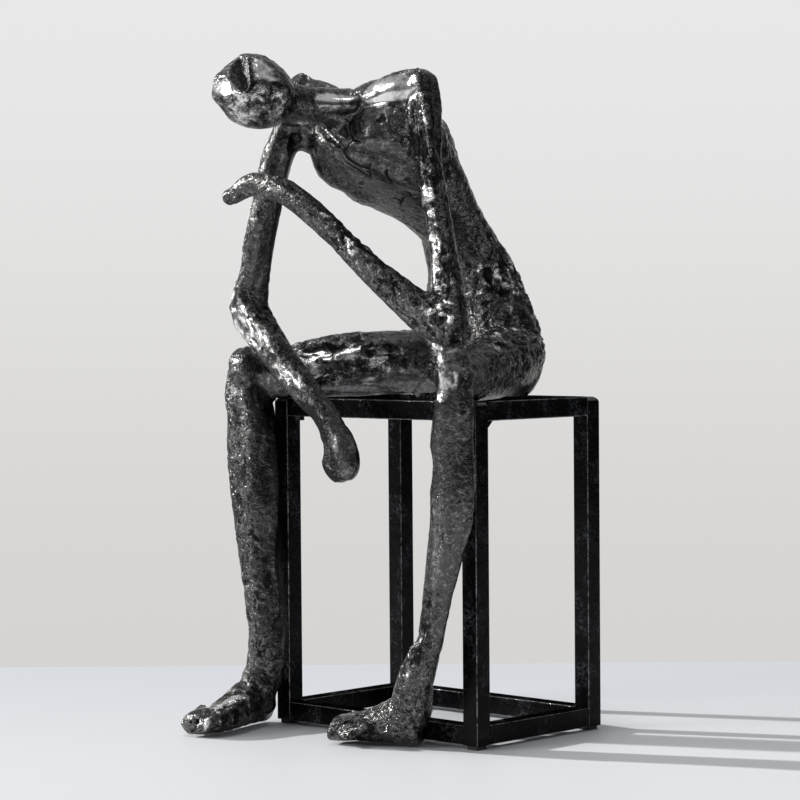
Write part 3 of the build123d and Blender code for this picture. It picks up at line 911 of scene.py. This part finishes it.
def head_forms() -> list[Form]:
    """List the head's chisel planes and the notch down its front."""
    centre = (-15.7, -94.9, 280.3)
    planes = (
        ((0.14, -0.98, 0.15), 16.3),
        ((0.45, -0.73, 0.52), 14.5),
        ((0.85, -0.20, 0.48), 14.8),
        ((0.93, -0.35, -0.12), 14.7),
        ((0.40, -0.66, -0.63), 15.0),
        ((-0.30, -0.60, 0.74), 15.2),
        ((-0.80, -0.50, 0.20), 14.8),
        ((-0.55, -0.55, -0.60), 15.4),
        ((-0.75, 0.30, 0.55), 15.2),
    )
    notch = chain(Touch.HOLLOW, 0.4, (-13, -107.3, 294.6, 5.4), (-7.6, -110.6, 282.6, 4.4))
    return [filed(centre, way, out_mm) for way, out_mm in planes] + notch


def front_forms() -> list[Form]:
    """List the folds of neck and chest, and the grooves and ridges beside the left arm."""
    swell, hollow = Touch.SWELL, Touch.HOLLOW
    return [
        *chain(swell, 2.0, (-3.6, -67, 275.5, 3.4), (5.5, -56.5, 275.5, 3.4)),
        *chain(hollow, 1.0, (32.8, -49.6, 273.5, 2.2), (35.4, -50.6, 259, 2.4), (38.4, -51.6, 249, 1.4)),
        *chain(swell, 1.2, (38.6, -46.3, 277, 1.7), (43.2, -48.2, 254, 1.5), (44.6, -47.9, 245, 1.0)),
        *chain(hollow, 1.0, (47.3, -49.1, 240, 1.3), (51.2, -49.6, 220.5, 2.0), (58.2, -51.6, 194, 1.4)),
        *chain(hollow, 1.5, (47.2, -41, 260, 1.5), (53.5, -41.5, 212, 1.3)),
        *chain(swell, 1.2, (-31, -59.5, 268, 3.6), (-25, -55.1, 267.1, 3.5),
               (-21.5, -52, 264, 3.5), (-10, -55.7, 259.1, 3.2)),
        *chain(swell, 1.5, (-10, -55.7, 259.1, 3.2), (-3.8, -53.1, 253.5, 2.4)),
        *chain(hollow, 0.8, (-27.5, -59, 262, 2.2), (-27.5, -60, 256, 2.4)),
        *chain(hollow, 0.8, (-22, -57.6, 271, 1.2), (-15, -56.6, 267.4, 1.7),
               (-3.6, -58.9, 260.6, 1.7), (4, -57.6, 254, 0.8)),
    ]


def leg_forms() -> list[Form]:
    """List the kneecaps, the shins' ridges and the crease of the left thigh."""
    return [
        *chain(Touch.SWELL, 1.6, (63, -56, 165, 6.8), (61.5, -55.4, 158, 6.0)),
        *chain(Touch.SWELL, 2.0, (-64.5, -57, 164.5, 6.8), (-64.5, -56, 157, 6.2)),
        *chain(Touch.SWELL, 1.6, (60.5, -58.5, 148, 3.2), (43.5, -58.5, 52, 2.2)),
        *chain(Touch.SWELL, 1.6, (-65.5, -59.5, 148, 3.6), (-60.5, -58.5, 50, 2.2)),
        *chain(Touch.HOLLOW, 1.5, (41, -16, 179.5, 1.8), (28, 22, 185, 1.8)),
    ]


def back_forms() -> list[Form]:
    """List the cleft of the seat, the groove down the spine and the shoulder blades."""
    spine = ((-6, 259.5), (12.5, 237), (25, 226), (36.5, 215), (46, 204), (51, 191))
    forms = chain(Touch.HOLLOW, 2.5, (0, 53.5, 180, 3.0), (0, 52, 153, 3.4))
    forms += chain(Touch.HOLLOW, 2.5, *((0, y_mm, z_mm, 2.8) for y_mm, z_mm in spine))
    for side in (-1, 1):
        forms += chain(Touch.SWELL, 3.0, (side * 17, -19, 264, 8.0), (side * 14, -6, 246, 7.0))
    return forms


def worked_forms() -> list[Form]:
    """List what is laid on, pressed into or filed off the figure."""
    left = Foot((36, -48.5, 1.4), turn_deg=65, length_mm=41, inner=1)
    right = Foot((-66, -44.5, 1.4), turn_deg=9, length_mm=52, inner=-1)
    return head_forms() + front_forms() + leg_forms() + back_forms() + left.forms() + right.forms()


# The worked surface

@dataclass(frozen=True)
class Patch:
    """A stretch of the surface, from start to end, that fades out over its reach."""

    start_mm: Place
    end_mm: Place
    reach_mm: float
    strength: float = 1.0
    full_share: float = 0.35

    def share(self, points: np.ndarray) -> np.ndarray:
        """Give each point the patch's strength there."""
        reach = self.reach_mm * MM
        _, away = beside(points, self.start_mm, self.end_mm)
        return self.strength * (1.0 - smooth_step(self.full_share * reach, reach, away))


def strongest(patches: tuple[Patch, ...], points: np.ndarray) -> np.ndarray:
    """Give each point the strongest of the patches there."""
    return np.max([patch.share(points) for patch in patches], axis=0)


@dataclass(frozen=True)
class Nudge(Patch):
    """A stretch of the skin that is shifted a little, so that its outline follows the photograph."""

    shift_mm: Place = (0.0, 0.0, 0.0)

    def shift(self, points: np.ndarray) -> np.ndarray:
        """Give each point's shift, in metres."""
        return self.share(points)[:, None] * np.array(self.shift_mm) * MM


@dataclass(frozen=True)
class Limb:
    """The line of one limb, where two of its planes meet, and which side is smooth.

    Angles are degrees round the line, from the side nearest the stool's front left corner.
    """

    start_mm: Place
    end_mm: Place
    edge_deg: float | None = None
    smooth_deg: float | None = None
    corner_way: Place = (0.69, -0.72, 0.0)

    def way(self) -> np.ndarray:
        """Give the unit direction from start to end."""
        run = np.array(self.end_mm) - np.array(self.start_mm)
        return run / np.linalg.norm(run)

    def angle(self, points: np.ndarray) -> np.ndarray:
        """Give each point's angle round the line, in radians."""
        way = self.way()
        corner = np.array(self.corner_way)
        front = corner - (corner @ way) * way
        front /= np.linalg.norm(front)
        rest = points - spot(*self.start_mm)
        return np.arctan2(rest @ np.cross(way, front), rest @ front)


@dataclass(frozen=True)
class Strokes:
    """Tool strokes, creases and planes that run along each limb."""

    meeting: float = 2.5 * MM
    least_weight: float = 0.03
    stroke_share: float = 0.62
    warp: Warp = Warp(4.5, (21, 22, 23))
    broad: Noise = Noise(6.5, 11, 0.7)
    folds: Noise = Noise(3.8, 12, push_mm=0.9)
    fold_weight: float = 0.9
    fold_top: float = 0.4
    fold_slope: float = 1.7
    fine: Noise = Noise(2.2, 13, 0.62, push_mm=0.6)
    finest: Noise = Noise(1.4, 14, 0.42)
    crease: Noise = Noise(5.5, 15, push_mm=1.2)
    crease_width: float = 0.07
    creased: Noise = Noise(7.0, 16)
    creased_range: Range = (-0.1, 0.35)
    wander: Noise = Noise(12.0, 17, 0.3)
    plane_share: float = 0.075
    smooth_range: Range = (0.55, 0.85)
    limbs: tuple[Limb, ...] = (
        Limb((-11.4, -78.6, 278), (-20.1, -111.2, 282.6)),
        Limb((-4, -45, 271.5), (-11.4, -78.6, 278)),
        Limb((0, -38, 268), (2, 30, 175)),
        Limb((32, -42.5, 282.2), (56, -48.5, 177.5), -15),
        Limb((56, -48.5, 177.5), (-5, -79, 233), 0),
        Limb((-5, -79, 233), (-44, -83, 235.5)),
        Limb((-33, -50, 283), (-57, -60, 189), 30, -20),
        Limb((-57, -60, 189), (-8.5, -62, 141), 0),
        Limb((-8.5, -62, 141), (5, -62, 112), 0, -40),
        Limb((20, 28, 164), (59.5, -53, 159)),
        Limb((59.5, -53, 159), (41, -53, 36), 50, -10),
        Limb((41, -53, 36), (10, -62, 4)),
        Limb((-16, 28, 164), (-66.5, -53, 159), 0, -45),
        Limb((-66.5, -53, 159), (-60, -53, 36), -10, -50),
        Limb((-60, -53, 36), (-59, -86, 6)),
    )

    def work(self, points: np.ndarray) -> dict[str, np.ndarray]:
        """Work out the strokes and planes.

        Round every limb's line the places are squeezed along it, so that noise there
        is drawn out along it. Lumps add noise of four sizes, the second folded to
        ridges. Creases are 1 where a fifth noise crosses 0, and fall off by the square.
        Planes are four to a limb: the distance from the line times a small share times
        the cosine of four times the angle from an edge, which is nearly flat between
        two edges. A limb's smooth side is where the cosine of the angle from its middle
        is high. Where limbs meet, theirs are mixed by how near each line is.

        Args:
            points: the skin's points.

        Returns:
            The lumps, creases, planes (in metres) and smooth share of each point, by name.
        """
        away = np.array([beside(points, limb.start_mm, limb.end_mm)[1] for limb in self.limbs])
        weights = np.exp(-(away - away.min(0)) / self.meeting)
        weights /= weights.sum(0)
        made = {name: np.zeros(len(points)) for name in ("lumps", "creases", "planes", "smooth")}
        for limb, apart, weight in zip(self.limbs, away, weights):
            here = np.nonzero(weight > self.least_weight)[0]
            near = points[here]
            share = weight[here]
            way = limb.way()
            drawn = near - ((near @ way) * (1.0 - self.stroke_share))[:, None] * way
            warp = self.warp.value(drawn)
            fold = np.abs(self.folds.value(drawn, warp))
            lumps = self.broad.value(drawn) + self.fold_weight * (self.fold_top - fold * self.fold_slope)
            lumps += self.fine.value(drawn, warp)
            lumps += self.finest.value(near)
            line = np.exp(-(self.crease.value(drawn, warp) / self.crease_width) ** 2)
            line *= smooth_step(*self.creased_range, self.creased.value(near))
            made["lumps"][here] += share * lumps
            made["creases"][here] += share * line
            turn = limb.angle(near) + self.wander.value(drawn)
            if limb.edge_deg is not None:
                depth = apart[here] * self.plane_share
                made["planes"][here] += share * depth * np.cos(4.0 * (turn - radians(limb.edge_deg)))
            if limb.smooth_deg is not None:
                facing = np.cos(turn - radians(limb.smooth_deg))
                made["smooth"][here] += share * smooth_step(*self.smooth_range, facing)
        return made


@dataclass(frozen=True)
class Relief:
    """The hand-worked surface, and where it is calm, wild, cracked, darkened by painted shade, or bright from
    wear and painted highlights.
    """

    strokes: Strokes = Strokes()
    lump_depth: float = 0.36 * MM
    dent_depth: float = 0.26 * MM
    crease_depth: float = 0.6 * MM
    crack_depth: float = 0.65 * MM
    lump_mark: float = 0.5
    dent_mark: float = 0.3
    crack_mark: float = 1.3
    warp: Warp = Warp(5.0, (24, 25, 26))
    dent_seed: int = 31
    dent_push: float = 1.0 * MM
    dent_size: float = 3.4 * MM
    dent_slope: float = 2.2
    dent_rim: float = 1.3
    dent_middle: float = 0.55
    crack_seed: int = 41
    crack_push: float = 1.6 * MM
    crack_size: float = 12.0 * MM
    crack_width: float = 0.055
    crack_breaks: Noise = Noise(8.0, 51)
    crack_range: Range = (-0.3, 0.1)
    unevenness: Noise = Noise(20.0, 61)
    uneven_range: Range = (-0.3, 0.4)
    least_rough: float = 0.55
    underside: Range = (0.2, 0.9)
    underside_calm: float = 0.55
    smooth_calm: float = 0.85
    strong_wear_and_highlight: Range = (0.6, 1.0)
    calm_loss: float = 0.65
    wild_gain: float = 0.9
    wear_and_highlight_loss: float = 0.4
    cracked: Patch = Patch((13, -52, 258), (14, -38, 240), 23)
    calm: tuple[Patch, ...] = (
        Patch((8, -56, 262), (20, -36, 226), 28),
        Patch((20, -36, 226), (10, -12, 200), 22, 0.8),
        Patch((-12, -104, 284), (-8, -98, 286), 17, 0.6),
        Patch((60, -60, 152), (45, -60, 70), 14),
        Patch((-60, -60, 110), (-58, -60, 60), 12, 0.5),
    )
    # Painted shade: each patch darkens the tone where shade falls: the head's notch, the armpit, the groove
    # beside the left arm, the right hand, along the left forearm and down both shins.
    painted_shade: tuple[Patch, ...] = (
        Patch((-12.6, -106, 292.5), (-7.5, -107.5, 283), 5.6),
        Patch((34, -50, 272), (41, -52, 243), 5.5, 0.8),
        Patch((-28, -59, 263), (-28, -60, 258), 4, 0.4),
        Patch((-13, -66, 138), (-4, -68, 118), 12),
        Patch((40, -58, 208), (4, -76, 240), 6, 0.5),
        Patch((47, -60, 62), (44, -61, 42), 8, 0.35),
        Patch((58, -58, 120), (56, -58, 100), 5, 0.35),
        Patch((-62, -60, 110), (-60, -60, 40), 14, 0.25),
    )
    # Partly wear and partly painted highlight: these patches turn the metal bright where it is rubbed and
    # where highlights fall, on the shoulders, neck, arms, knees, thighs, head and toes.
    wear_and_highlight: tuple[Patch, ...] = (
        Patch((17, -54, 281), (30, -50, 282), 11),
        Patch((-2, -68, 277), (4, -57, 276.5), 6.5),
        Patch((37, -48.5, 270), (41.5, -51, 240), 5, 0.6),
        Patch((41.5, -51, 240), (50, -54, 200), 6.5, 0.8),
        Patch((-56, -69, 192), (-52, -69.5, 179), 7, 0.9),
        Patch((-52, -69.5, 179), (-20, -68, 158), 6.5, 0.75),
        Patch((-20, -68, 158), (-6, -66, 143), 5, 0.6),
        Patch((61, -60, 164), (60, -61, 152), 7.5, 0.7),
        Patch((-64, -63, 163), (-65, -63.5, 155), 7, 0.5),
        Patch((-50, -46, 167.5), (-14, -8, 169), 6.5, 0.85),
        Patch((-52, -50, 158), (-14, -8, 160), 11, 0.58),
        Patch((28, 18, 184), (34, 26, 182), 5, 0.5),
        Patch((-36, -86, 240), (-16, -85, 244), 5, 0.2),
        Patch((-14, -85, 244), (30, -66, 207), 4, 0.25),
        Patch((-12, -105, 277), (-8, -92, 276), 22, 0.76),
        Patch((50, -54, 200), (56, -55, 182), 8, 0.6),
        Patch((60, -59, 165), (66, -57, 157), 8.5, 0.75),
        Patch((30, 14, 178), (50, -14, 173), 9, 0.5),
        Patch((-20, -111.5, 281), (-14, -112.5, 280), 8, 0.9),
        Patch((-4, -100.5, 289), (-3, -99, 287), 10, 0.9),
        Patch((10, -62, 12), (2, -64, 8), 6, 0.35),
        Patch((-60, -56, 16), (-58, -88, 9), 13, 0.55),
        Patch((53, -61, 150), (46, -61, 66), 4.5, 0.7),
    )
    wild: tuple[Patch, ...] = (
        Patch((22, 22, 205), (30, 34, 176), 26),
        Patch((38, 16, 172), (54, -18, 166), 18),
        Patch((-50, -46, 170), (-14, -8, 171), 9),
        Patch((-56, -69, 195), (-50, -66, 175), 14, 0.7),
        Patch((52, -58, 186), (20, -70, 215), 12, 0.8),
        Patch((45, -50, 235), (56, -52, 185), 12, 0.8),
        Patch((-10, -100, 270), (-2, -92, 276), 18, 0.8),
        Patch((10, -62, 10), (-60, -90, 8), 16, 0.4),
        Patch((47, -60, 64), (40, -60, 34), 12, 0.8),
    )

    def work(self, points: np.ndarray, normals: np.ndarray) -> tuple[np.ndarray, dict[str, np.ndarray]]:
        """Work out how far the surface stands out or in.

        Strokes, creases and planes come from the limbs' lines. Dents are shallow bowls
        round seeded points. Cracks follow the walls between large cells on the chest,
        where a noise is high.

        Args:
            points: the skin's points.
            normals: their unit normals.

        Returns:
            The height of each point, and what the metal reads there, by name.
        """
        made = self.strokes.work(points)
        lumps, creases = made["lumps"], made["creases"]
        warp = self.warp.value(points)
        near, _ = cell_distances(points + warp * self.dent_push, self.dent_size, self.dent_seed)
        dents = np.clip(near * near * self.dent_slope, 0.0, self.dent_rim) - self.dent_middle
        first, second = cell_distances(points + warp * self.crack_push, self.crack_size, self.crack_seed)
        wall = np.exp(-((second - first) / self.crack_width) ** 2)
        broken = smooth_step(*self.crack_range, self.crack_breaks.value(points))
        cracks = wall * self.cracked.share(points) * broken
        # Bright patches, partly wear and partly painted highlight.
        wear_and_highlight = strongest(self.wear_and_highlight, points)
        polished = smooth_step(*self.strong_wear_and_highlight, wear_and_highlight)
        calm = np.maximum(strongest(self.calm, points), self.smooth_calm * made["smooth"])
        calm = np.maximum(calm, polished)
        uneven = smooth_step(*self.uneven_range, self.unevenness.value(points))
        rough = self.least_rough + (1.0 - self.least_rough) * uneven
        rough *= 1.0 - self.underside_calm * smooth_step(*self.underside, -normals[:, 2])
        rough *= (1.0 - self.calm_loss * calm) * (1.0 + self.wild_gain * strongest(self.wild, points))
        rough *= 1.0 - self.wear_and_highlight_loss * polished
        height = rough * (self.lump_depth * lumps + self.dent_depth * dents - self.crease_depth * creases)
        height += made["planes"] - self.crack_depth * cracks
        shade = rough * (self.lump_mark * lumps + self.dent_mark * dents - creases)
        shade -= self.crack_mark * cracks
        # Painted shade: the listed dark patches are taken off the tone mark here.
        shade -= strongest(self.painted_shade, points)
        return height, {"relief_and_painted_shade": np.clip(shade, -1.0, 1.0), "wear_and_highlight": wear_and_highlight, "calm": calm}


@dataclass
class Skin:
    """The worked surface: points, quads, unit normals, and what the metal reads at each point."""

    points: np.ndarray
    quads: np.ndarray
    normals: np.ndarray
    marks: dict[str, np.ndarray]

    def piece(self, name: str, quads: np.ndarray) -> bpy.types.Object:
        """Make an object of some of the quads, closed inside with a cone over each open edge.

        Args:
            name: the object's name.
            quads: its share of the quads.

        Returns:
            The new object, with the marks as attributes.
        """
        used, inverse = np.unique(quads, return_inverse=True)
        quads = inverse.reshape(quads.shape)
        own = self.points[used]
        ends = quad_edges(quads)
        code = ends[:, 0] * len(used) + ends[:, 1]
        mirrored = ends[:, 1] * len(used) + ends[:, 0]
        rim = ends[~np.isin(code, mirrored)]
        names = loop_names(rim, len(used))[rim[:, 0]]
        points = [own]
        faces = [quads]
        for centre, loop in enumerate(np.unique(names), len(used)):
            edge = rim[names == loop]
            points.append(own[edge[:, 0]].mean(0)[None])
            faces.append(np.stack([edge[:, 1], edge[:, 0], np.full(len(edge), centre)], axis=1))
        made = make_object(name, np.vstack(points), faces)
        caps = len(points) - 1
        for title, values in self.marks.items():
            held = made.data.attributes.new(title, "FLOAT", "POINT")
            held.data.foreach_set("value", np.concatenate([values[used], np.zeros(caps)]).astype(np.float32))
        normals = np.vstack([self.normals[used], np.zeros((caps, 3))])
        made.data.normals_split_custom_set_from_vertices(normals.tolist())
        log.info("%s: %d quads, %d inner caps", name, len(quads), caps)
        return made


@dataclass
class Figure:
    """The six castings under one worked skin."""

    forms: list[Form]
    relief_and_painted_shade: Relief = Relief()
    cell: float = 0.6 * MM
    band_cells: float = 6.0
    fillet: float = 2.0 * MM
    relax_rounds: int = 2
    relax_pull: float = 0.5
    relax_push: float = 0.45
    seat_level: float = 148 * MM
    seat_near: float = 0.75 * MM
    facing_down: float = -0.9
    nudges: tuple[Nudge, ...] = (
        Nudge((-30, -46, 292), (30, -42, 290), 15, shift_mm=(0, 0, 1.2)),
        Nudge((40, -36, 284), (42, -36, 262), 10, shift_mm=(0.9, 0.8, 0)),
        Nudge((-4, -92, 290), (-8, -84, 286), 10, shift_mm=(-0.6, -0.6, -0.6)),
        Nudge((-26, -110, 288), (-27, -110, 280), 8, shift_mm=(-0.5, -0.5, 0.3)),
        Nudge((-46, -83, 238), (-30, -84, 240), 11, shift_mm=(0, 0, 1.5)),
        Nudge((-21, -41, 248), (-18, -32, 238), 13, shift_mm=(-0.8, -0.8, -1.3)),
        Nudge((-19, -8, 230), (-15, 4, 219), 12, shift_mm=(1.1, 1.0, 1.5)),
        Nudge((22, 40, 200), (24, 44, 182), 17, shift_mm=(-1.2, -1.2, 0)),
        Nudge((-60, -66, 188), (-60, -66, 176), 9, shift_mm=(-0.5, -0.5, 0)),
        Nudge((-9, -62, 140), (-6, -62, 132), 12, shift_mm=(1.0, 0.9, 0)),
        Nudge((7, -58, 132), (10, -58, 122), 9, shift_mm=(0.8, 0.7, 0)),
        Nudge((-7, -67, 118), (-5, -67, 108), 8, shift_mm=(-0.6, -0.6, 0)),
        Nudge((-68, -62, 168), (-64, -62, 169), 8, shift_mm=(0.3, 0.3, -1.0)),
        Nudge((48, -55, 92), (44, -55, 58), 22, shift_mm=(0.8, 0.7, 0)),
        Nudge((48, -58, 122), (38, -58.5, 52), 11, shift_mm=(1.5, 1.4, 0)),
        Nudge((-65, -58, 60), (-65, -59, 30), 8, shift_mm=(0.5, 0.5, 0)),
        Nudge((-54, -47.5, 42), (-53, -48, 8), 9, shift_mm=(3.0, 0.6, 0)),
        Nudge((-60, -66, 24), (-59, -80, 15), 10, shift_mm=(0, 0, -1.3)),
    )

    def joined(self) -> tuple[Field, dict[Casting, Field]]:
        """Join the castings' solids into one closed field with filleted inside corners.

        The union is the lowest of the distances. It is meshed one fillet radius
        outside, measured again, and the radius is added back: concave corners are
        then rounded, and convex ones stay.

        Returns:
            The joined field, and each casting's own field.
        """
        own = {}
        for casting in Casting:
            points, triangles = node_faces(casting.value)
            own[casting] = field_from_faces(points, triangles, None, self.cell, self.band_cells)
        low = np.min([part.corner for part in own.values()], axis=0)
        high = np.max([part.corner + part.values.shape for part in own.values()], axis=0)
        union = Field(self.cell, low, np.full(tuple(high - low), self.band_cells * self.cell, np.float32))
        for part in own.values():
            window = tuple(slice(a, a + b) for a, b in zip(part.corner - low, part.values.shape))
            union.values[window] = np.minimum(union.values[window], part.values)
        closed = field_from_faces(*union.faces(self.fillet), self.cell, self.band_cells)
        closed.values += self.fillet
        return closed, own

    def worked(self, field: Field) -> Skin:
        """Mesh the field, shift it to the outline and work its surface.

        The seat's underside, which lies on the rails, keeps its place.

        Args:
            field: the joined field, with the forms worked in.

        Returns:
            The skin, with its faces outward.
        """
        points, _, quads = field.faces(0.0)
        points = points.astype(float)
        quads = quads.astype(np.int64)
        if (face_normals(points, quads) * points[quads].mean(1)).sum() < 0:
            quads = quads[:, ::-1]
        points = relaxed(points, quads, self.relax_rounds, self.relax_pull, self.relax_push)
        points = points + sum(nudge.shift(points) for nudge in self.nudges)
        normals = point_normals(points, quads)
        height, marks = self.relief_and_painted_shade.work(points, normals)
        level = np.abs(points[:, 2] - self.seat_level) < self.seat_near
        height = np.where(level & (normals[:, 2] < self.facing_down), 0.0, height)
        points = points + normals * height[:, None]
        return Skin(points, quads, point_normals(points, quads), marks)

    def make(self, finish: bpy.types.Material) -> None:
        """Build the skin and share it out among the castings, by the nearest solid.

        Args:
            finish: the castings' material.
        """
        field, own = self.joined()
        for form in self.forms:
            field.work(form)
        skin = self.worked(field)
        middles = skin.points[skin.quads].mean(1)
        owner = np.stack([own[casting].sample(middles) for casting in Casting], axis=1).argmin(1)
        for index, casting in enumerate(Casting):
            piece = skin.piece(f"{casting.value}_skin", skin.quads[owner == index])
            piece.data.materials.append(finish)
            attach(piece, "root")
            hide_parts(casting.value)


# The studio

@dataclass(frozen=True)
class Lamp:
    """A lamp, placed from the object's middle as the camera sees it.

    Across is metres to the right in the picture, ahead is metres away from the camera,
    and height is metres above the floor. Size is the width and height of an oblong lamp
    in metres, or the angle in degrees of a far one. Power is watts, or watts for a
    square metre from a far lamp.
    """

    name: str
    across: float
    ahead: float
    height: float
    size: Range | float
    power: float

    def make(self, right: np.ndarray, forward: np.ndarray) -> None:
        """Hang the lamp, aimed at the object's middle.

        Args:
            right: the camera's right.
            forward: the camera's forward direction.
        """
        if isinstance(self.size, tuple):
            data = bpy.data.lights.new(self.name, "AREA")
            data.shape = "RECTANGLE"
            data.size, data.size_y = self.size
        else:
            data = bpy.data.lights.new(self.name, "SUN")
            data.angle = radians(self.size)
        data.energy = self.power
        middle = spot(0, 0, 150)
        place = middle + right * self.across + forward * self.ahead
        place[2] = self.height
        lamp = bpy.data.objects.new(self.name, data)
        lamp.location = place
        lamp.rotation_euler = Vector(middle - place).to_track_quat("-Z", "Y").to_euler()
        bpy.context.scene.collection.objects.link(lamp)


@dataclass(frozen=True)
class Studio:
    """Floor, background, lamps and the camera at the photograph's angle."""

    camera_mm: Place = (817.7, -873.1, 185.3)
    azimuth_deg: float = 43.877
    pitch_deg: float = -1.847
    roll_deg: float = -0.443
    lens: float = 120.1
    sensor_width: float = 36.0
    clip_end: float = 50.0
    floor_behind: float = 211 * MM
    floor_reach: float = 1.2
    floor_ahead: float = 0.12
    floor_roughness: float = 0.6
    floor_far: Colour = (0.69, 0.71, 0.74, 1.0)
    floor_near: Colour = (0.79, 0.80, 0.82, 1.0)
    plain_light: Colour = (0.24, 0.245, 0.255, 1.0)
    backdrop_low: Colour = (0.672, 0.66, 0.645, 1.0)
    backdrop_high: Colour = (0.807, 0.807, 0.807, 1.0)
    room: Colour = (0.05, 0.05, 0.052, 1.0)
    lit_room_low: Colour = (0.2, 0.2, 0.205, 1.0)
    lit_room_high: Colour = (0.4, 0.4, 0.41, 1.0)
    ceiling: Colour = (0.42, 0.42, 0.43, 1.0)
    backdrop_climb: Range = (-0.13, 0.12)
    backdrop_edge: Range = (0.72, 0.97)
    lit_side: Range = (-0.35, 0.75)
    lit_climb: Range = (-0.1, 0.4)
    ceiling_climb: Range = (0.35, 0.75)
    lamps: tuple[Lamp, ...] = (
        Lamp("key lamp", -3.75, 1.20, 1.92, 1.6, 3.75),
        Lamp("side lamp", -2.4, -0.8, 1.08, (1.15, 0.75), 21.0),
        Lamp("top lamp", -0.24, -0.16, 2.35, (0.64, 0.64), 10.0),
    )

    def directions(self) -> tuple[np.ndarray, np.ndarray, np.ndarray]:
        """Give the camera's right, up and forward directions before its roll."""
        turn, rise = radians(self.azimuth_deg), radians(self.pitch_deg)
        forward = np.array([-np.sin(turn) * np.cos(rise), np.cos(turn) * np.cos(rise), np.sin(rise)])
        right = np.array([np.cos(turn), np.sin(turn), 0.0])
        return right, np.cross(right, forward), forward

    def camera(self) -> None:
        """Place the camera."""
        right, up, forward = self.directions()
        roll = radians(self.roll_deg)
        rolled_right = right * np.cos(roll) + up * np.sin(roll)
        rolled_up = up * np.cos(roll) - right * np.sin(roll)
        data = bpy.data.cameras.new("camera")
        data.lens = self.lens
        data.sensor_width = self.sensor_width
        data.clip_end = self.clip_end
        camera = bpy.data.objects.new("camera", data)
        rows = np.column_stack([rolled_right, rolled_up, -forward, spot(*self.camera_mm)])
        camera.matrix_world = Matrix([*rows.tolist(), (0.0, 0.0, 0.0, 1.0)])
        bpy.context.scene.collection.objects.link(camera)
        bpy.context.scene.camera = camera

    def floor(self) -> None:
        """Lay a floor that ends behind the stool, as the photograph's does."""
        right, _, forward = self.directions()
        level = forward * (1.0, 1.0, 0.0)
        level /= np.linalg.norm(level)
        middle = stool_centre()
        far = middle + level * self.floor_behind
        near = middle - level * self.floor_reach
        side = right * self.floor_reach
        corners = np.array([near - side, near + side, far + side, far - side])
        floor = make_object("floor", corners, [np.array([[0, 1, 2, 3]])])
        material, pen, surface = new_material("pale floor")
        # Painted light: the floor's colour runs from darker far behind the stool to lighter near the camera,
        # in place of light that is brighter towards the front.
        start = float(middle @ level)
        depth = pen.along(pen.coordinates(), level)
        nearness = pen.ramp(depth, start + self.floor_behind, start - self.floor_ahead)
        pen.feed(surface.inputs["Base Color"], pen.mix(nearness, self.floor_far, self.floor_near))
        surface.inputs["Roughness"].default_value = self.floor_roughness
        floor.data.materials.append(material)

    def world(self) -> None:
        """Give a pale background to camera, mirror and glass rays, and plain light to the rest."""
        right, _, forward = self.directions()
        world = bpy.data.worlds.new("studio")
        bpy.context.scene.world = world
        world.use_nodes = True
        pen = Shader(world.node_tree)
        looking = pen.coordinates("Generated")
        climb = pen.parts(looking)["Z"]
        seen = pen.mix(pen.ramp(climb, *self.backdrop_climb), self.backdrop_low, self.backdrop_high)
        lit = pen.mix(pen.ramp(climb, *self.lit_climb), self.lit_room_low, self.lit_room_high)
        dim = pen.mix(pen.ramp(climb, *self.ceiling_climb), self.room, self.ceiling)
        room = pen.mix(pen.ramp(pen.along(looking, -right), *self.lit_side), dim, lit)
        mirrored = pen.mix(pen.ramp(pen.along(looking, forward), *self.backdrop_edge), room, seen)
        path = pen.node("ShaderNodeLightPath")
        reflected = pen.math("MAXIMUM", path.outputs["Is Glossy Ray"], path.outputs["Is Transmission Ray"])
        plain = pen.mix(reflected, self.plain_light, mirrored)
        back = pen.node("ShaderNodeBackground")
        pen.feed(back.inputs["Color"], pen.mix(path.outputs["Is Camera Ray"], plain, seen))
        pen.feed(pen.node("ShaderNodeOutputWorld").inputs["Surface"], back.outputs[0])

    def make(self) -> None:
        """Build the whole studio."""
        right, _, forward = self.directions()
        self.camera()
        self.floor()
        for lamp in self.lamps:
            lamp.make(right, forward)
        self.world()
        bpy.context.scene.view_settings.view_transform = "Standard"


def dress(names: list[str], finish: bpy.types.Material) -> None:
    """Give solids that keep their shape a finish."""
    for name in names:
        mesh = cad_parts[name].data
        mesh.materials.clear()
        mesh.materials.append(finish)
        log.info("%s: dressed in %s", name, finish.name)


def main() -> None:
    """Build the studio, the finishes and the pieces in order."""
    Studio().make()
    groups = Groups(MetalGrain().make(), WearAndHighlightSpots().make())
    nodes = sorted(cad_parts)
    dress([n for n in nodes if n.startswith("stool") or "screw" in n], BarPaint().make(groups))
    dress([n for n in nodes if n.startswith("foot_pad")], PadRubber().make())
    dress([n for n in nodes if "dowel" in n], DrawnSteel().make(groups))
    Figure(worked_forms()).make(CastingFinish().make(groups))


if __name__ == "__main__":
    main()
